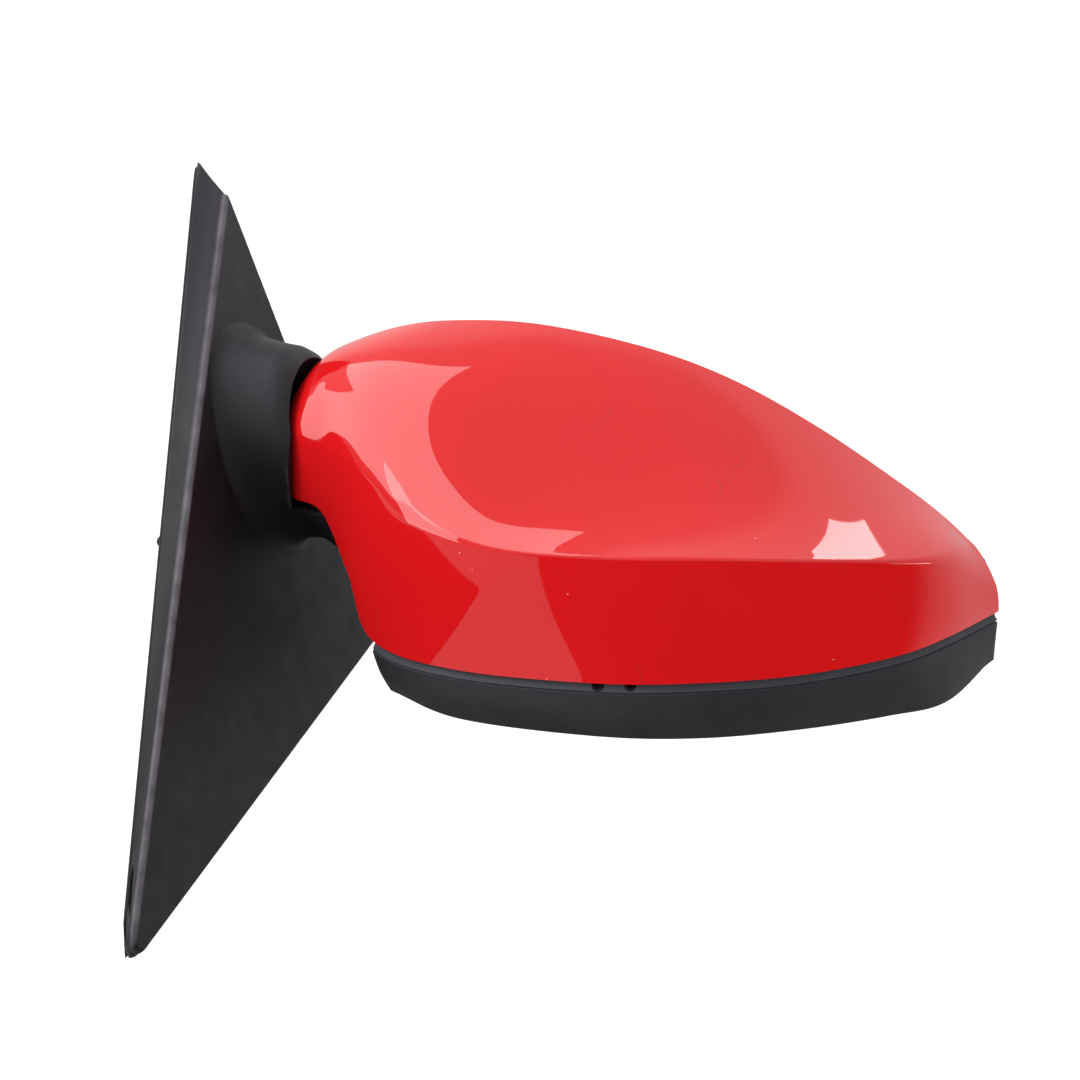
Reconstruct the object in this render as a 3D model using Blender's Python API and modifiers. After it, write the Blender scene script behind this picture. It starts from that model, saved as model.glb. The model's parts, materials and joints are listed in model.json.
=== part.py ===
"""Car door mirror, left hand side, as an assembly of separate solids.

Frame: +X points away from the car, +Y to the rear of the car (the way the glass faces), +Z up.
The origin is on the bracket's face against the door, where the neck's centre line meets it.
The driving sizes are in millimetres and are scaled to metres where a mesh is made.
"""

import math

import bmesh
import bpy
from mathutils import Matrix, Vector

MM = 0.001
CLEAR = 0.3

# Door side: a triangular sail that leans in with the side window. Corners are (rearward, up the window).
LEAN = math.radians(20.0)
SAIL_DEPTH = 12.0
SAIL_WALL = 2.5
GASKET = 2.0
GASKET_WIDTH = 4.0
GASKET_SET_BACK = 1.4
SAIL_FACE_CORNERS = [(-194.5, -110.5), (38.0, -105.5), (37.0, 67.0)]
SAIL_BACK_CORNERS = [(-187.0, -116.0), (41.0, -111.0), (42.0, 79.0)]
SAIL_CORNER_RADII = [4.5, 4.0, 1.5]
PLATE = 6.0
PLATE_CORNERS = [(-112.0, -92.0), (27.0, -92.0), (27.0, 24.0), (8.0, 32.0), (-20.0, 18.0)]
STUD_PLACES = [(14.0, 16.0), (-84.0, -80.0), (14.0, -78.0)]
COVER_SCREW_PLACES = [(-46.0, -60.0), (-16.0, -76.0)]
GROMMET_PLACE = (17.0, -48.0)
PEG_PLACE = (-60.4, -20.2)

# Neck, which ends in a round foot under the head. Each pair is at the sail and at the foot.
PIVOT_X = 52.5
NECK_WIDTH = (26.0, 25.0)
NECK_HEIGHT = (34.0, 22.0)
NECK_MIDDLE_Z = (-6.5, -25.0)
NECK_DROP_SHARES = (0.3, 0.62)
NECK_FLARE = 9.0
NECK_FLARE_SHARE = 0.3
NECK_FLARE_HELD = math.radians(118.0)
FOOT_RADIUS = 25.0
FOOT_TOP = -20.5
ARM_HALF_WIDTH = 12.0
BOSS_RADIUS = 18.0
BOSS_BOTTOM = -31.0

# Head, in its own frame: x outboard, y rearward, z up, from the pivot axis.
HEAD_TOE = math.radians(10.0)
SADDLE_SIDE_X = -17.0
SADDLE_PROFILE = [
    (FOOT_TOP, 28.2),
    (5.0, 28.2),
    (8.5, 27.8),
    (11.5, 27.2),
    (14.5, 26.3),
    (17.5, 25.1),
    (20.5, 23.6),
    (23.5, 21.6),
    (26.5, 19.9),
    (70.0, 19.9),
]
TUBE_RADIUS = 11.0
TUBE_BORE = 8.0
TUBE_TOP = 16.5
BOSS_TOP = 0.5
SHELL = 2.5
RIM_Y = 15.0
BEZEL_Y = 17.6
BEZEL_SET_BACK = 1.1
BEZEL_OUTER_END = [(214.0, -77.6), (219.4, -74.6), (221.0, -57.0), (219.6, -46.0), (216.2, -37.5)]
SKIRT_Y = 11.5
SHROUD_RADIUS = 28.0

# Each station across the head holds the shoulder line, the cap's lower edge, the rim above the glass
# and the surface's slopes at the shoulder and at the rim in degrees.
STATIONS = [
    ((-22.4, 15.0, 2.0), (-22.4, 15.0, -18.0), (-22.0, 6.0), 90, 40),
    ((-27.0, 0.0, 1.0), (-27.0, 0.0, -18.0), (-20.5, 13.0), 90, -5),
    ((-21.0, -17.0, 0.5), (-21.0, -17.0, -17.5), (-16.5, 20.0), 90, -20),
    ((-7.5, -26.0, 0.0), (-9.0, -25.5, -18.0), (-8.5, 26.5), 88, -22),
    ((9.0, -41.0, 0.0), (3.0, -40.0, -33.0), (10.0, 34.8), 80, -10),
    ((28.0, -54.0, -1.0), (13.0, -49.5, -52.5), (30.0, 39.0), 62, 0),
    ((58.0, -67.5, -2.2), (43.0, -63.5, -52.6), (60.0, 40.0), 28, 6),
    ((95.0, -71.0, -0.4), (92.0, -70.0, -49.3), (97.0, 34.2), 8, 10),
    ((127.0, -67.0, 0.0), (127.0, -67.0, -47.5), (127.0, 24.4), 4, 10),
    ((159.0, -56.0, -3.6), (160.0, -55.0, -48.0), (157.0, 8.6), 4, 8),
    ((190.0, -32.0, -14.0), (189.0, -34.0, -50.3), (186.0, -10.5), 8, 4),
    ((204.5, -13.0, -21.8), (205.0, -14.0, -52.8), (200.0, -21.0), 12, 0),
    ((216.2, 15.0, -37.5), (221.0, 15.0, -57.0), (209.5, -29.8), 50, 40),
]
TRIM_START = 5
TRIM_BOTTOM = [
    (19.0, -48.0, -73.5),
    (45.0, -58.5, -75.8),
    (92.0, -64.5, -74.0),
    (127.0, -61.5, -73.0),
    (160.0, -50.0, -73.0),
    (189.0, -31.0, -75.8),
    (207.0, -12.5, -79.3),
    (220.3, 15.0, -76.6),
]
FLOOR_INBOARD_X = 22.0
FLOOR_Z = -78.0
LEDGE = 2.0
COLUMNS_PER_STATION = 2
BAND_BULGE = [0.0, 0.0, 0.0, 0.2, 0.5, 0.8, 0.8, 0.8, 0.8, 0.8, 0.8, 1.2, 1.6]

# Glass opening in the bezel, anticlockwise as (outboard, up), and the glass unit's centre.
OPENING = [
    (39.0, -68.5),
    (60.0, -70.0),
    (110.0, -70.0),
    (165.0, -69.5),
    (194.0, -67.0),
    (202.5, -57.0),
    (199.0, -43.0),
    (185.0, -28.5),
    (162.0, -11.0),
    (135.0, 6.0),
    (105.0, 18.5),
    (75.0, 26.0),
    (50.0, 25.5),
    (36.0, 12.0),
    (33.0, -25.0),
    (34.0, -60.0),
]
UNIT_X = 115.0
UNIT_Z = -25.0

# Glass unit, in its own frame at the gimbal's centre.
RING_INNER = 12.0
RING_OUTER = 15.0
RING_HALF = 2.5
PIN_RADIUS = 1.5
PIN_END = 20.5
EAR_HALF = 3.5
CARRIER_Y = (4.8, 7.3)
HEATER_Y = (7.6, 8.0)
GLASS_Y = (8.3, 10.3)
CASE_BACK_Y = (-10.0, -7.5)
CASE_FRONT_Y = -29.0
CASE_OUTLINE = [
    (-36.0, -44.0),
    (16.0, -44.0),
    (44.0, -16.0),
    (44.0, 16.0),
    (28.0, 25.5),
    (-2.0, 31.0),
    (-36.0, 6.0),
]
CASE_WALL = 2.0
LEVER = 28.0
BALL_RADIUS = 2.6
PLUNGER_RADIUS = 3.0
GEAR_TEETH = 20
GEAR_TIP = 9.3
GEAR_ROOT = 7.6
GEAR_Y = (-22.0, -16.0)
WORM_TIP = 3.6
WORM_ROOT = 2.4
WORM_HALF = 6.0
WORM_TURNS = 4
WORM_OFFSET = GEAR_TIP + WORM_TIP + 0.4
WORM_Y = -19.0
MOTOR_RADIUS = 6.0
MOTOR_SPAN = (8.5, 23.0)
ACTUATOR_SCREWS = [(-31.0, 1.0), (38.5, 11.0), (19.0, -34.0)]

FRAME_Y = (-33.0, -30.0)
FRAME_OUTLINE = [
    (15.0, -44.0),
    (34.0, -66.0),
    (160.0, -66.0),
    (172.0, -58.0),
    (172.0, -34.0),
    (161.0, -9.5),
    (110.0, 2.0),
    (60.0, 8.0),
    (30.0, 4.0),
    (15.0, -3.0),
]
HOUSING_SCREWS = [(40.0, -60.0), (68.0, -60.0), (166.0, -60.0)]

PALETTE = {
    "red_paint": ((0.62, 0.012, 0.014), 0.12, 0.0),
    "trim_plastic": ((0.022, 0.022, 0.025), 0.55, 0.0),
    "black_plastic": ((0.012, 0.012, 0.013), 0.5, 0.0),
    "rubber": ((0.01, 0.01, 0.01), 0.8, 0.0),
    "cast_aluminium": ((0.55, 0.56, 0.58), 0.45, 1.0),
    "steel": ((0.5, 0.5, 0.52), 0.3, 1.0),
    "nylon": ((0.75, 0.73, 0.66), 0.45, 0.0),
    "mirror_silver": ((0.85, 0.87, 0.9), 0.03, 1.0),
    "heater_foil": ((0.35, 0.2, 0.06), 0.5, 0.0),
}


# ---------------------------------------------------------------- scene, frames and materials


def collection(name):
    made = bpy.data.collections.new(name)
    bpy.context.scene.collection.children.link(made)
    return made


for leftover in list(bpy.data.objects):
    bpy.data.objects.remove(leftover)
PARTS = collection("car_side_mirror")
CUTTERS = collection("cutters")


def frame_empty(name, matrix):
    """An empty that carries the pieces modelled in its frame."""
    empty = bpy.data.objects.new(name, None)
    PARTS.objects.link(empty)
    empty.matrix_world = matrix
    return empty


HEAD_MATRIX = Matrix.Translation((PIVOT_X * MM, 0, 0)) @ Matrix.Rotation(HEAD_TOE, 4, "Z")
UNIT_MATRIX = HEAD_MATRIX @ Matrix.Translation((UNIT_X * MM, 0, UNIT_Z * MM))
DOOR = frame_empty("door_plane", Matrix.Rotation(-LEAN, 4, "Y"))
PIVOT = frame_empty("pivot_axis", Matrix.Translation((PIVOT_X * MM, 0, 0)))
HEAD = frame_empty("head_origin", HEAD_MATRIX)
UNIT = frame_empty("glass_gimbal", UNIT_MATRIX)
PAN_DRIVE = frame_empty("pan_drive_axis", UNIT_MATRIX @ Matrix.Translation((LEVER * MM, 0, 0)))
TILT_DRIVE = frame_empty("tilt_drive_axis", UNIT_MATRIX @ Matrix.Translation((0, 0, -LEVER * MM)))


def move_to(obj, holder):
    for old in list(obj.users_collection):
        old.objects.unlink(obj)
    holder.objects.link(obj)


def part(obj, look, parent):
    """Gives a piece its material, its collection and its parent frame."""
    colour, roughness, metallic = PALETTE[look]
    material = bpy.data.materials.new(obj.name + "_" + look)
    material.use_nodes = True
    shader = material.node_tree.nodes["Principled BSDF"]
    shader.inputs["Base Color"].default_value = (*colour, 1.0)
    shader.inputs["Roughness"].default_value = roughness
    shader.inputs["Metallic"].default_value = metallic
    obj.data.materials.clear()
    obj.data.materials.append(material)
    move_to(obj, PARTS)
    obj.parent = parent
    if obj.type == "MESH":
        obj.data.shade_smooth()
        obj.data.set_sharp_from_angle(angle=math.radians(35))
    return obj


def helper(obj, parent):
    """A shape that another is cut by or joined with."""
    move_to(obj, CUTTERS)
    obj.parent = parent
    obj.hide_render = True
    obj.display_type = "WIRE"
    return obj


def change(obj, operation, others, parent):
    """Boolean modifiers, one for each of the other shapes."""
    for other in others:
        modifier = obj.modifiers.new(operation.lower(), "BOOLEAN")
        modifier.operation = operation
        modifier.solver = "EXACT"
        modifier.object = helper(other, parent)
    return obj


def cut(obj, others, parent):
    return change(obj, "DIFFERENCE", others, parent)


def join(obj, others, parent):
    return change(obj, "UNION", others, parent)


# ---------------------------------------------------------------- basic shapes


def box(name, low, high):
    """A box between two corners of its parent's frame."""
    low, high = Vector(low) * MM, Vector(high) * MM
    bpy.ops.mesh.primitive_cube_add(size=1)
    obj = bpy.context.object
    obj.name = name
    obj.data.transform(Matrix.Translation((low + high) / 2) @ Matrix.Diagonal((*(high - low), 1)))
    return obj


def cylinder(name, radius, start, end, sides=32):
    """A cylinder between two points of its parent's frame."""
    start, end = Vector(start) * MM, Vector(end) * MM
    bpy.ops.mesh.primitive_cylinder_add(vertices=sides, radius=radius * MM, depth=(end - start).length)
    obj = bpy.context.object
    obj.name = name
    turn = (end - start).to_track_quat("Z", "Y").to_matrix().to_4x4()
    obj.data.transform(Matrix.Translation((start + end) / 2) @ turn)
    return obj


def turned(name, profile, axis="Z", steps=32, angle=360.0, start=0.0):
    """A turned solid, from (radius, height) points listed down the outer side first."""
    mesh = bpy.data.meshes.new(name)
    count = len(profile)
    edges = [(i, (i + 1) % count) for i in range(count)]
    if profile[0][0] == 0:
        edges.pop()
    mesh.from_pydata([(r * MM, 0, z * MM) for r, z in profile], edges, [])
    obj = bpy.data.objects.new(name, mesh)
    bpy.context.scene.collection.objects.link(obj)
    screw = obj.modifiers.new("turn", "SCREW")
    screw.steps = screw.render_steps = steps
    screw.angle = math.radians(angle)
    screw.use_merge_vertices = True
    screw.merge_threshold = 0.00001
    place = {
        "X": Matrix.Rotation(math.pi / 2, 4, "Y"),
        "Y": Matrix.Rotation(-math.pi / 2, 4, "X"),
        "Z": Matrix.Rotation(math.radians(start), 4, "Z"),
    }[axis]
    return fixed_mesh(obj, place)


def plate(name, outline, low, high, holes=(), facing="Y"):
    """A flat plate with holes, square to one axis of its parent, between two distances along it."""
    curve = bpy.data.curves.new(name, "CURVE")
    curve.dimensions = "2D"
    curve.fill_mode = "BOTH"
    curve.extrude = (high - low) / 2 * MM
    for loop in [outline, *holes]:
        line = curve.splines.new("POLY")
        line.points.add(len(loop) - 1)
        for point, (x, z) in zip(line.points, loop):
            point.co = (x * MM, z * MM, 0, 1)
        line.use_cyclic_u = True
    obj = bpy.data.objects.new(name, curve)
    bpy.context.scene.collection.objects.link(obj)
    middle = (low + high) / 2 * MM
    stand = {
        "X": Matrix(((0, 0, 1, middle), (1, 0, 0, 0), (0, 1, 0, 0), (0, 0, 0, 1))),
        "Y": Matrix(((1, 0, 0, 0), (0, 0, -1, middle), (0, 1, 0, 0), (0, 0, 0, 1))),
        "Z": Matrix.Translation((0, 0, middle)),
    }[facing]
    return fixed_mesh(obj, stand)


def fixed_mesh(obj, place):
    """Makes a curve or a modified object a plain welded mesh, with its placing in the vertices."""
    bpy.context.view_layer.update()
    mesh = bpy.data.meshes.new_from_object(obj.evaluated_get(bpy.context.evaluated_depsgraph_get()))
    mesh.transform(place)
    work = bmesh.new()
    work.from_mesh(mesh)
    bmesh.ops.remove_doubles(work, verts=work.verts, dist=0.00001)
    bmesh.ops.recalc_face_normals(work, faces=work.faces)
    work.to_mesh(mesh)
    work.free()
    name = obj.name
    bpy.data.objects.remove(obj)
    made = bpy.data.objects.new(name, mesh)
    bpy.context.scene.collection.objects.link(made)
    return made


def grid_mesh(name, rows, ring=False, caps=False):
    """A mesh through rows of points. The rows can be rings, and caps close the first and the last."""
    width = len(rows[0])
    points = [tuple(c * MM for c in p) for row in rows for p in row]
    faces = []
    for r in range(len(rows) - 1):
        for c in range(width if ring else width - 1):
            a, b = r * width + c, r * width + (c + 1) % width
            faces.append((a, b, b + width, a + width))
    if caps:
        faces.append(tuple(reversed(range(width))))
        faces.append(tuple(range((len(rows) - 1) * width, len(rows) * width)))
    mesh = bpy.data.meshes.new(name)
    mesh.from_pydata(points, [], faces)
    work = bmesh.new()
    work.from_mesh(mesh)
    bmesh.ops.remove_doubles(work, verts=work.verts, dist=0.00002)
    if caps:
        bmesh.ops.recalc_face_normals(work, faces=work.faces)
    work.to_mesh(mesh)
    work.free()
    obj = bpy.data.objects.new(name, mesh)
    bpy.context.scene.collection.objects.link(obj)
    return obj


def solidify(obj, thickness):
    """Gives an open surface a wall on its inner side."""
    modifier = obj.modifiers.new("wall", "SOLIDIFY")
    modifier.thickness = thickness * MM
    modifier.offset = -1
    modifier.use_even_offset = True
    return obj


# ---------------------------------------------------------------- curves and outlines


def spline(values, t):
    """A Catmull-Rom curve through values (numbers or tuples) at t from 0 to len(values) - 1."""
    if isinstance(values[0], tuple):
        return tuple(spline([v[k] for v in values], t) for k in range(len(values[0])))
    last = len(values) - 1
    i = min(int(t), last - 1)
    f = t - i
    p1, p2 = values[i], values[i + 1]
    m1 = (p2 - values[i - 1]) / 2 if i > 0 else p2 - p1
    m2 = (values[i + 2] - p1) / 2 if i + 2 <= last else p2 - p1
    start = 2 * f**3 - 3 * f**2 + 1
    return start * p1 + (f**3 - 2 * f**2 + f) * m1 + (1 - start) * p2 + (f**3 - f**2) * m2


def bezier(p0, p1, p2, p3, t):
    s = 1 - t
    weights = (s**3, 3 * s * s * t, 3 * s * t * t, t**3)
    return tuple(sum(w * p[k] for w, p in zip(weights, (p0, p1, p2, p3))) for k in range(3))


def closed_spline(points, per_span):
    """A smooth closed outline through points in a plane."""
    wrapped = points[-1:] + points + points[:2]
    return [spline(wrapped, 1 + i / per_span) for i in range(len(points) * per_span)]


def circle(centre, radius, sides=24):
    turn = [2 * math.pi * i / sides for i in range(sides)]
    return [(centre[0] + radius * math.cos(a), centre[1] + radius * math.sin(a)) for a in turn]


def inset(outline, distance):
    """An anticlockwise outline moved to its inner side."""
    moved = []
    for i, point in enumerate(outline):
        before = Vector(point) - Vector(outline[i - 1])
        after = Vector(outline[(i + 1) % len(outline)]) - Vector(point)
        n1 = Vector((-before.y, before.x)).normalized()
        n2 = Vector((-after.y, after.x)).normalized()
        bisector = (n1 + n2).normalized()
        moved.append(tuple(Vector(point) + bisector * distance / max(0.25, bisector.dot(n1))))
    return moved


def rounded(corners, radii, arc_points=4):
    """An anticlockwise polygon whose corners are arcs."""
    outline = []
    for i, corner in enumerate(corners):
        corner = Vector(corner)
        back = (Vector(corners[i - 1]) - corner).normalized()
        ahead = (Vector(corners[(i + 1) % len(corners)]) - corner).normalized()
        half = back.angle(ahead) / 2
        centre = corner + (back + ahead).normalized() * (radii[i] / math.sin(half))
        start = corner + back * (radii[i] / math.tan(half)) - centre
        for k in range(arc_points):
            angle = (math.pi - 2 * half) * k / (arc_points - 1)
            cos, sin = math.cos(angle), math.sin(angle)
            outline.append((centre.x + start.x * cos - start.y * sin, centre.y + start.x * sin + start.y * cos))
    return outline


def reach(outline, angle):
    """The point where a ray from the centre meets an outline."""
    way = Vector((math.cos(angle), math.sin(angle)))
    for i, point in enumerate(outline):
        a, b = Vector(point), Vector(outline[(i + 1) % len(outline)])
        side_a, side_b = way.cross(a), way.cross(b)
        if side_a <= 0 < side_b:
            crossing = a.lerp(b, side_a / (side_a - side_b))
            if crossing.dot(way) > 0:
                return tuple(crossing)
    raise ValueError("the outline does not surround its centre")


# ---------------------------------------------------------------- sail, neck and foot


def on_sail(y, z, out):
    """A point of the leaning door plane, in the row's frame."""
    return (out * math.cos(LEAN) - z * math.sin(LEAN), y, out * math.sin(LEAN) + z * math.cos(LEAN))


def sail_outline(share, set_back=0.0):
    """The sail's outline, from its back (share 0) to its face (share 1), moved in by a distance."""
    corners = [
        tuple(Vector(back).lerp(Vector(face), share))
        for back, face in zip(SAIL_BACK_CORNERS, SAIL_FACE_CORNERS)
    ]
    return rounded(inset(corners, set_back), [max(0.6, radius - set_back) for radius in SAIL_CORNER_RADII])


def sail_angles():
    """Directions from the neck's centre: even steps, with the sail's corners among them."""
    steps = [2 * math.pi * i / 26 for i in range(26)]
    corners = [math.atan2(z, y) % (2 * math.pi) for y, z in sail_outline(1.0)]
    kept = [a for a in steps if min(abs(a - c) for c in corners) > 0.03]
    return sorted(kept + corners)


def neck_section(share, wall):
    """(half width, half height, middle z, flare) of the neck, from the sail (share 0) to its tip (share 1)."""
    face_x = SAIL_DEPTH / math.cos(LEAN)
    x = face_x + (PIVOT_X + FOOT_RADIUS - face_x) * share
    beyond = min(1.0, max(0.0, x - PIVOT_X) / FOOT_RADIUS)
    close = math.sqrt(1 - beyond**2)
    drop_start, drop_end = NECK_DROP_SHARES
    along = min(1.0, max(0.0, (share - drop_start) / (drop_end - drop_start)))
    ease = along * along * (3 - 2 * along)
    width, height, middle = ((1 - ease) * a + ease * b for a, b in (NECK_WIDTH, NECK_HEIGHT, NECK_MIDDLE_Z))
    flare = 0.0
    if share < NECK_FLARE_SHARE:
        flare = NECK_FLARE * (1 - math.sqrt(1 - (1 - share / NECK_FLARE_SHARE) ** 2))
    return max(0.0, width * close - wall), max(0.0, height * close - wall), middle, flare


def neck_ring(share, angles, wall):
    """A ring of the neck. Its root lies in the leaning sail and its tip on an upright plane.

    The root flares out, but less towards the sail's sloping front edge, which is close to it.
    """
    half_width, half_height, middle, flare = neck_section(share, wall)
    tip = PIVOT_X + FOOT_RADIUS - wall
    ring = []
    for angle in angles:
        cos, sin = math.cos(angle), math.sin(angle)
        radius = half_width * half_height / max(1e-9, math.hypot(half_height * cos, half_width * sin))
        radius += flare * (1 - 0.65 * max(0.0, math.cos(angle - NECK_FLARE_HELD)))
        z = middle + radius * sin
        root = (SAIL_DEPTH - wall - z * math.sin(LEAN)) / math.cos(LEAN)
        ring.append((root + (tip - root) * share, radius * cos, z))
    return ring


def neck_shares():
    """Places of the rings: close together in the flare and round the tip."""
    face_x = SAIL_DEPTH / math.cos(LEAN)
    length = PIVOT_X + FOOT_RADIUS - face_x
    flare = [NECK_FLARE_SHARE * (1 - math.cos(math.radians(a))) for a in (0, 30, 58, 90)]
    tip = [(PIVOT_X - face_x + FOOT_RADIUS * math.sin(math.radians(a))) / length for a in (0, 30, 55, 75, 90)]
    return flare + [0.42, 0.52] + tip


def saddle(name, grow):
    """The space that the head's round tower and dome turn in, above the foot."""
    side = SADDLE_SIDE_X - grow
    rows = []
    for z, radius in SADDLE_PROFILE:
        radius += grow
        half_arc = math.acos(-side / radius)
        turns = [math.pi - half_arc + 2 * half_arc * i / 24 for i in range(25)]
        arc = [(radius * math.cos(a), radius * math.sin(a)) for a in turns]
        level = z - grow if z == FOOT_TOP else z
        rows.append([(x, y, level) for x, y in [(60, -60), (60, 60), (side, 60), *arc, (side, -60)]])
    return grid_mesh(name, rows, ring=True, caps=True)


def cover_solid(name, wall):
    """The sail and neck as one solid, made smaller all round by a wall's thickness."""
    angles = sail_angles()
    back_out = GASKET + CLEAR if wall == 0 else -5.0
    side = [(0.0, back_out, 0.0), (0.84, SAIL_DEPTH * 0.82, 0.0)]
    edge_round = [(1.0, SAIL_DEPTH - 0.5, 0.3), (1.0, SAIL_DEPTH, 1.6)]
    rows = []
    for share, out, edge in side + edge_round:
        outline = sail_outline(share, edge + wall)
        rows.append([on_sail(*reach(outline, a), out - (wall if out > 0 else 0)) for a in angles])
    rows += [neck_ring(share, angles, wall) for share in neck_shares()]
    return grid_mesh(name, rows, ring=True, caps=True)


def sail_cover():
    obj = cover_solid("sail_cover", 0.0)
    cut(obj, [saddle("cover_saddle", 0.0)], PIVOT)
    hollow = cover_solid("cover_hollow", SAIL_WALL)
    cut(hollow, [saddle("hollow_saddle", SAIL_WALL)], PIVOT)
    cut(obj, [hollow], None)
    for y, z in COVER_SCREW_PLACES:
        post = cylinder("cover_post", 4.0, (PLATE + CLEAR, y, z), (SAIL_DEPTH - 1, y, z), 20)
        pilot = cylinder("cover_pilot", 1.9, (PLATE - 1, y, z), (SAIL_DEPTH - 1.6, y, z), 16)
        cut(join(obj, [post], DOOR), [pilot], DOOR)
    cut(obj, [cylinder("foot_hole", BOSS_RADIUS + 0.5, (0, 0, -26), (0, 0, -18), 40)], PIVOT)
    return part(obj, "black_plastic", None)


def door_gasket():
    outline = rounded(inset(SAIL_BACK_CORNERS, GASKET_SET_BACK), [3.0, 3.0, 1.0])
    opening = rounded(inset(SAIL_BACK_CORNERS, GASKET_SET_BACK + GASKET_WIDTH), [2.0] * 3)
    return part(plate("door_gasket", outline, 0, GASKET, [opening], "X"), "rubber", DOOR)


def base_bracket():
    outline = rounded(PLATE_CORNERS, [6.0] * len(PLATE_CORNERS), 4)
    holes = [circle(place, 2.2, 16) for place in COVER_SCREW_PLACES] + [circle(GROMMET_PLACE, 6.5)]
    obj = plate("base_bracket", outline, 0, PLATE, holes, "X")
    studs = [cylinder("stud_boss", 5.0, (1, y, z), (PLATE + 2.8, y, z), 24) for y, z in STUD_PLACES]
    join(obj, studs, DOOR)
    wide = ARM_HALF_WIDTH
    arm_below = [(-1.9, 14), (14, -30), (20, -30), (38, BOSS_BOTTOM), (50, BOSS_BOTTOM)]
    arm = plate("bracket_arm", arm_below + [(50, -23.7), (20.8, -23.7), (19.5, 12)], -wide, wide)
    join(obj, [arm], None)
    join(obj, [cylinder("bracket_boss", BOSS_RADIUS, (0, 0, BOSS_BOTTOM), (0, 0, -21), 40)], PIVOT)
    cut(obj, [cylinder("boss_bore", TUBE_RADIUS + CLEAR, (0, 0, -40), (0, 0, -10), 32)], PIVOT)
    threads = [cylinder("stud_bore", 2.6, (-1, y, z), (PLATE + 0.8, y, z), 16) for y, z in STUD_PLACES]
    recesses = [cylinder("head_recess", 4.2, (-1, y, z), (2.6, y, z), 20) for y, z in COVER_SCREW_PLACES]
    cut(obj, threads + recesses, DOOR)
    return part(obj, "cast_aluminium", DOOR)


def screw(name, head_radius, head, shank_radius, length, look, parent, place):
    """A pan head screw along its own Z axis, with its head at z = 0 to -head and a hex socket."""
    profile = [(0, length), (shank_radius * 0.5, length), (shank_radius, length - 1), (shank_radius, 0)]
    profile += [(head_radius, 0), (head_radius, -head * 0.6), (head_radius * 0.75, -head), (1.3, -head)]
    profile += [(1.3, -head * 0.45), (0, -head * 0.45)]
    obj = turned(name, profile, steps=10)
    obj.data.transform(place)
    return part(obj, look, parent)


def facing(direction, x, y, z):
    """Turns a piece's own Z axis along a direction and puts its origin at a point in millimetres."""
    turn = Vector(direction).to_track_quat("Z", "Y").to_matrix().to_4x4()
    return Matrix.Translation((x * MM, y * MM, z * MM)) @ turn


def base_fittings():
    for number, (y, z) in enumerate(COVER_SCREW_PLACES, 1):
        screw(f"cover_screw_{number}", 3.8, 1.9, 1.6, 7.6, "steel", DOOR, facing((1, 0, 0), 2.3, y, z))
    y, z = GROMMET_PLACE
    profile = [(8.6, 3.6), (8.6, 2.0), (6.2, 1.7), (6.2, -4.2), (4.4, -4.2), (4.4, 3.6)]
    grommet = turned("wire_grommet", profile, steps=24)
    grommet.data.transform(facing((1, 0, 0), PLATE - 1.6, y, z))
    part(grommet, "rubber", DOOR)
    y, z = PEG_PLACE
    profile = [(0, 9.4), (2.2, 9.4), (2.2, 5.0), (4.0, 5.0), (4.0, 3.6), (2.2, 3.6)]
    profile += [(2.2, -3.8), (1.4, -5.0), (0, -5.0)]
    peg = turned("locating_peg", profile, steps=20)
    peg.data.transform(facing((1, 0, 0), 0.0, y, z))
    part(peg, "black_plastic", DOOR)


# ---------------------------------------------------------------- pivot stack


def pivot_stack():
    tube = TUBE_RADIUS
    profile = [(tube, TUBE_TOP), (tube, 15.5), (tube - 1, 15.5), (tube - 1, 13.9), (tube, 13.9)]
    profile += [(tube, BOSS_BOTTOM - CLEAR), (tube + 3, BOSS_BOTTOM - CLEAR), (tube + 3, BOSS_BOTTOM - 2.8)]
    profile += [(TUBE_BORE, BOSS_BOTTOM - 2.8), (TUBE_BORE, TUBE_TOP)]
    part(turned("pivot_tube", profile, steps=32), "steel", PIVOT)
    part(turned("detent_ring", [(17.6, -18.4), (17.6, -20.7), (11.4, -20.7), (11.4, -18.4)]), "steel", PIVOT)
    part(turned("spring_cap", [(14.6, 13.6), (14.6, 12.2), (11.4, 12.2), (11.4, 13.6)]), "steel", PIVOT)
    clip = turned("circlip", [(13.2, 15.2), (13.2, 14.1), (10.4, 14.1), (10.4, 15.2)], steps=32)
    cut(clip, [box("circlip_gap", (8, -2.5, 12), (16, 2.5, 18))], PIVOT)
    part(clip, "steel", PIVOT)


def fold_spring():
    """A compression spring with closed ends, round the tube."""
    curve = bpy.data.curves.new("fold_spring", "CURVE")
    curve.dimensions = "3D"
    curve.bevel_depth = 1.1 * MM
    curve.bevel_resolution = 2
    curve.use_fill_caps = True
    turns, per_turn, low, high = 4, 11, 2.0, 10.7
    steps = int(turns * per_turn)
    line = curve.splines.new("POLY")
    line.points.add(steps)
    for i, point in enumerate(line.points):
        angle = 2 * math.pi * i / per_turn
        share = min(1.0, max(0.0, (i / per_turn - 0.7) / (turns - 1.4)))
        point.co = (12.9 * MM * math.cos(angle), 12.9 * MM * math.sin(angle), (low + (high - low) * share) * MM, 1)
    obj = bpy.data.objects.new("fold_spring", curve)
    bpy.context.scene.collection.objects.link(obj)
    part(obj, "steel", PIVOT)


# ---------------------------------------------------------------- head shells


def station_value(index, t):
    return spline([s[index] for s in STATIONS], t)


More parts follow.
